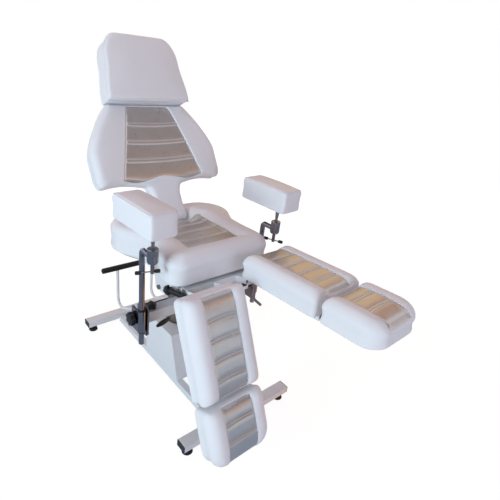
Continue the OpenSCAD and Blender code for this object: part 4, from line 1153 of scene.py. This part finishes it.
PATCH_CORE = 0.4  # share of a patch's spread within which it has its full colour
ROOM = (
    Patch((0.70, 0.62, 0.06), 0.28, "#5b4636", 0.85),
    Patch((0.35, 0.25, 0.90), 0.34, "#ffcf98", 0.8),
    Patch((0.45, -0.15, 0.88), 0.42, "#b4c8ea", 0.95),
    Patch((0.55, 0.52, 0.78), 0.32, "#8a7464", 0.8),
    Patch((0.49, 0.78, 0.40), 0.36, "#3c2e24", 0.95),
    Patch((0.68, 0.63, 0.37), 0.22, "#ffdaa6", 0.9),
    Patch((0.76, 0.46, 0.44), 0.28, "#ffdcaa", 0.95),
    Patch((0.84, 0.22, 0.50), 0.28, "#b4773f", 0.92),
    Patch((0.50, -0.60, 0.62), 0.56, "#8e8585", 0.95),
    Patch((0.52, -0.85, 0.10), 0.34, "#4a505c", 0.90),
    Patch((0.53, -0.85, 0.03), 0.27, "#e8f4ff", 1.0),
    Patch((0.48, -0.79, 0.39), 0.17, "#ffb25c", 0.95),
    Patch((-0.45, -0.88, -0.05), 0.26, "#3c3835", 0.85),
    Patch((-0.95, 0.25, 0.10), 0.30, "#4d4846", 0.85),
)


@dataclass
class Studio:
    """Pale floor, white backdrop, soft lights and the camera.

    Attributes:
        post_y: Place of the armrest posts' line.
        lens: Focal length for a 36 mm sensor, in millimetres.
    """

    post_y: float
    lens: float = 29.51

    def build(self) -> None:
        """Builds the floor, the lights, the world and the camera."""
        self.floor()
        self.lights()
        self.world()
        self.camera()
        bpy.context.scene.view_settings.view_transform = "Standard"

    def floor(self) -> None:
        """Pale floor that keeps a soft shadow and is near white to the camera.

        Reflections see a warm colour beside the chair and a cool one further off.
        """
        reach, z = 6.0, -0.0005
        corners = np.array([[-reach, -reach, z], [reach, -reach, z], [reach, reach, z],
                            [-reach, reach, z]])
        floor = new_piece("studio_floor", corners, [[0, 1, 2, 3]], smooth=False)
        made = bpy.data.materials.new("studio floor")
        tree = empty_tree(made)
        matt = add_node(tree, "BsdfDiffuse", {"Color": linear("#efe9e2")})
        glow = add_node(tree, "Emission", {"Color": (1, 1, 1, 1), "Strength": 1.15})
        place = add_node(tree, "TexCoord").outputs["Object"]
        away = add_node(tree, "VectorMath", {1: (0.66, -0.40 + self.post_y, 0)},
                        {0: place}, operation="DISTANCE").outputs["Value"]
        # A warm to cool glow at strength 1.8 that only reflections see: a painted reflection of a
        # lit room, for the silver panels' welts.
        tint = add_node(tree, "Mix", {6: linear("#d79757"), 7: linear("#738091")},
                        {0: remap(tree, away, (0.32, 0.70))}, data_type="RGBA").outputs[2]
        warm = add_node(tree, "Emission", {"Strength": 1.8}, {"Color": tint})
        path = add_node(tree, "LightPath")
        near = mix_shaders(tree, path.outputs["Is Glossy Ray"], matt.outputs["BSDF"],
                           warm.outputs["Emission"])
        out = add_node(tree, "VectorMath", links={0: place}, operation="LENGTH").outputs["Value"]
        share = add_node(tree, "Math", links={
            0: path.outputs["Is Camera Ray"], 1: remap(tree, out, (1.4, 2.8), (0.80, 1.0))},
            operation="MULTIPLY").outputs["Value"]
        both = mix_shaders(tree, share, near, glow.outputs["Emission"])
        add_node(tree, "OutputMaterial", links={"Surface": both})
        floor.data.materials.append(made)

    def lamp(self, name: str, place: tuple, aim: tuple, size: float, power: float,
             tint: str) -> None:
        """Adds a square soft light that nothing mirrors: reflections see the room's patches alone.

        Args:
            name: Name of the lamp.
            place: Where it hangs.
            aim: What it points at.
            size: Side of the square.
            power: Power in watts.
            tint: Its colour in sRGB hex.
        """
        data = bpy.data.lights.new(name, "AREA")
        data.size, data.energy, data.color = size, power, linear(tint)[:3]
        lamp = bpy.data.objects.new(name, data)
        lamp.location = place
        lamp.visible_glossy = False
        lamp.rotation_euler = (Vector(aim) - Vector(place)).to_track_quat("-Z", "Y").to_euler()
        bpy.context.scene.collection.objects.link(lamp)

    def lights(self) -> None:
        """Cool light from the client's right and the front, weak warm light from the rest."""
        self.lamp("window", (-3.6, -0.8, 1.45), (0, 0.0, 0.6), 1.6, 92, "#d6f2ff")
        self.lamp("room", (3.2, 0.9, 2.2), (0, 0.1, 0.7), 2.0, 12, "#ffe2cc")
        self.lamp("front", (0.6, -3.4, 0.7), (0, 0, 0.5), 2.4, 32, "#dceaff")
        self.lamp("ceiling", (0.2, 0.9, 3.4), (0, 0.0, 0.6), 2.0, 14, "#ffe6dc")
        self.lamp("rear", (0.6, 3.2, 2.4), (0, 0.1, 0.7), 2.0, 14, "#ffe6d6")

    def world(self) -> None:
        """White to the camera, the room to reflections, a dim even light to everything else."""
        world = bpy.data.worlds.new("studio")
        bpy.context.scene.world = world
        tree = empty_tree(world)
        path = add_node(tree, "LightPath")
        plain = add_node(tree, "Background", {"Color": linear("#ffdfe4"), "Strength": 0.31})
        white = add_node(tree, "Background", {"Color": (1, 1, 1, 1), "Strength": 1.0})
        shiny = add_node(tree, "Background", {"Strength": 1.0}, {"Color": self.surround(tree)})
        seen = mix_shaders(tree, path.outputs["Is Glossy Ray"], plain.outputs["Background"],
                           shiny.outputs["Background"])
        both = mix_shaders(tree, path.outputs["Is Camera Ray"], seen, white.outputs["Background"])
        add_node(tree, "OutputWorld", links={"Surface": both})

    def surround(self, tree: Tree) -> Socket:
        """Colour that reflections see: white, with the soft patches of the room laid over it.

        Args:
            tree: Node tree of the world.

        Returns:
            The colour's socket.
        """
        ahead = add_node(tree, "TexCoord").outputs["Generated"]
        colour = add_node(tree, "RGB").outputs[0]
        colour.default_value = (1, 1, 1, 1)
        for patch in ROOM:
            toward = Vector(patch.direction).normalized()
            facing = add_node(tree, "VectorMath", {1: toward}, {0: ahead},
                              operation="DOT_PRODUCT").outputs["Value"]
            edges = math.cos(patch.spread), math.cos(patch.spread * PATCH_CORE)
            share = remap(tree, facing, edges, (0.0, patch.share))
            colour = add_node(tree, "Mix", {7: linear(patch.colour)},
                              {0: share, 6: colour}, data_type="RGBA").outputs[2]
        return colour

    def camera(self) -> None:
        """Camera solved from the object's three vanishing directions."""
        data = bpy.data.cameras.new("camera")
        data.lens, data.sensor_width = self.lens, 36
        camera = bpy.data.objects.new("camera", data)
        right, up = (0.7502, -0.6501, 0.1212), (0.2023, 0.4000, 0.8939)
        back = (-0.6296, -0.6461, 0.4316)
        turn = Matrix((right, up, back)).transposed().to_4x4()
        camera.matrix_world = Matrix.Translation((-0.92939, -1.19653 + self.post_y, 1.44935)) @ turn
        bpy.context.scene.collection.objects.link(camera)
        bpy.context.scene.camera = camera


def main() -> None:
    """Builds the chair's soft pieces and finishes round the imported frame."""
    logging.basicConfig(level=logging.INFO, format="%(name)s: %(message)s")
    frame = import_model()
    post_y = next(j["pos_m"][1] for j in frame["joints"] if j["name"] == "post_turn_left")
    for name, node in frame["nodes"].items():
        dress(node, finish_of(name))
        LOG.info("%s: %s", name, finish_of(name).value.title)
    Studio(post_y).build()
    Upholstery(post_y).build()


if __name__ == "__main__":
    main()
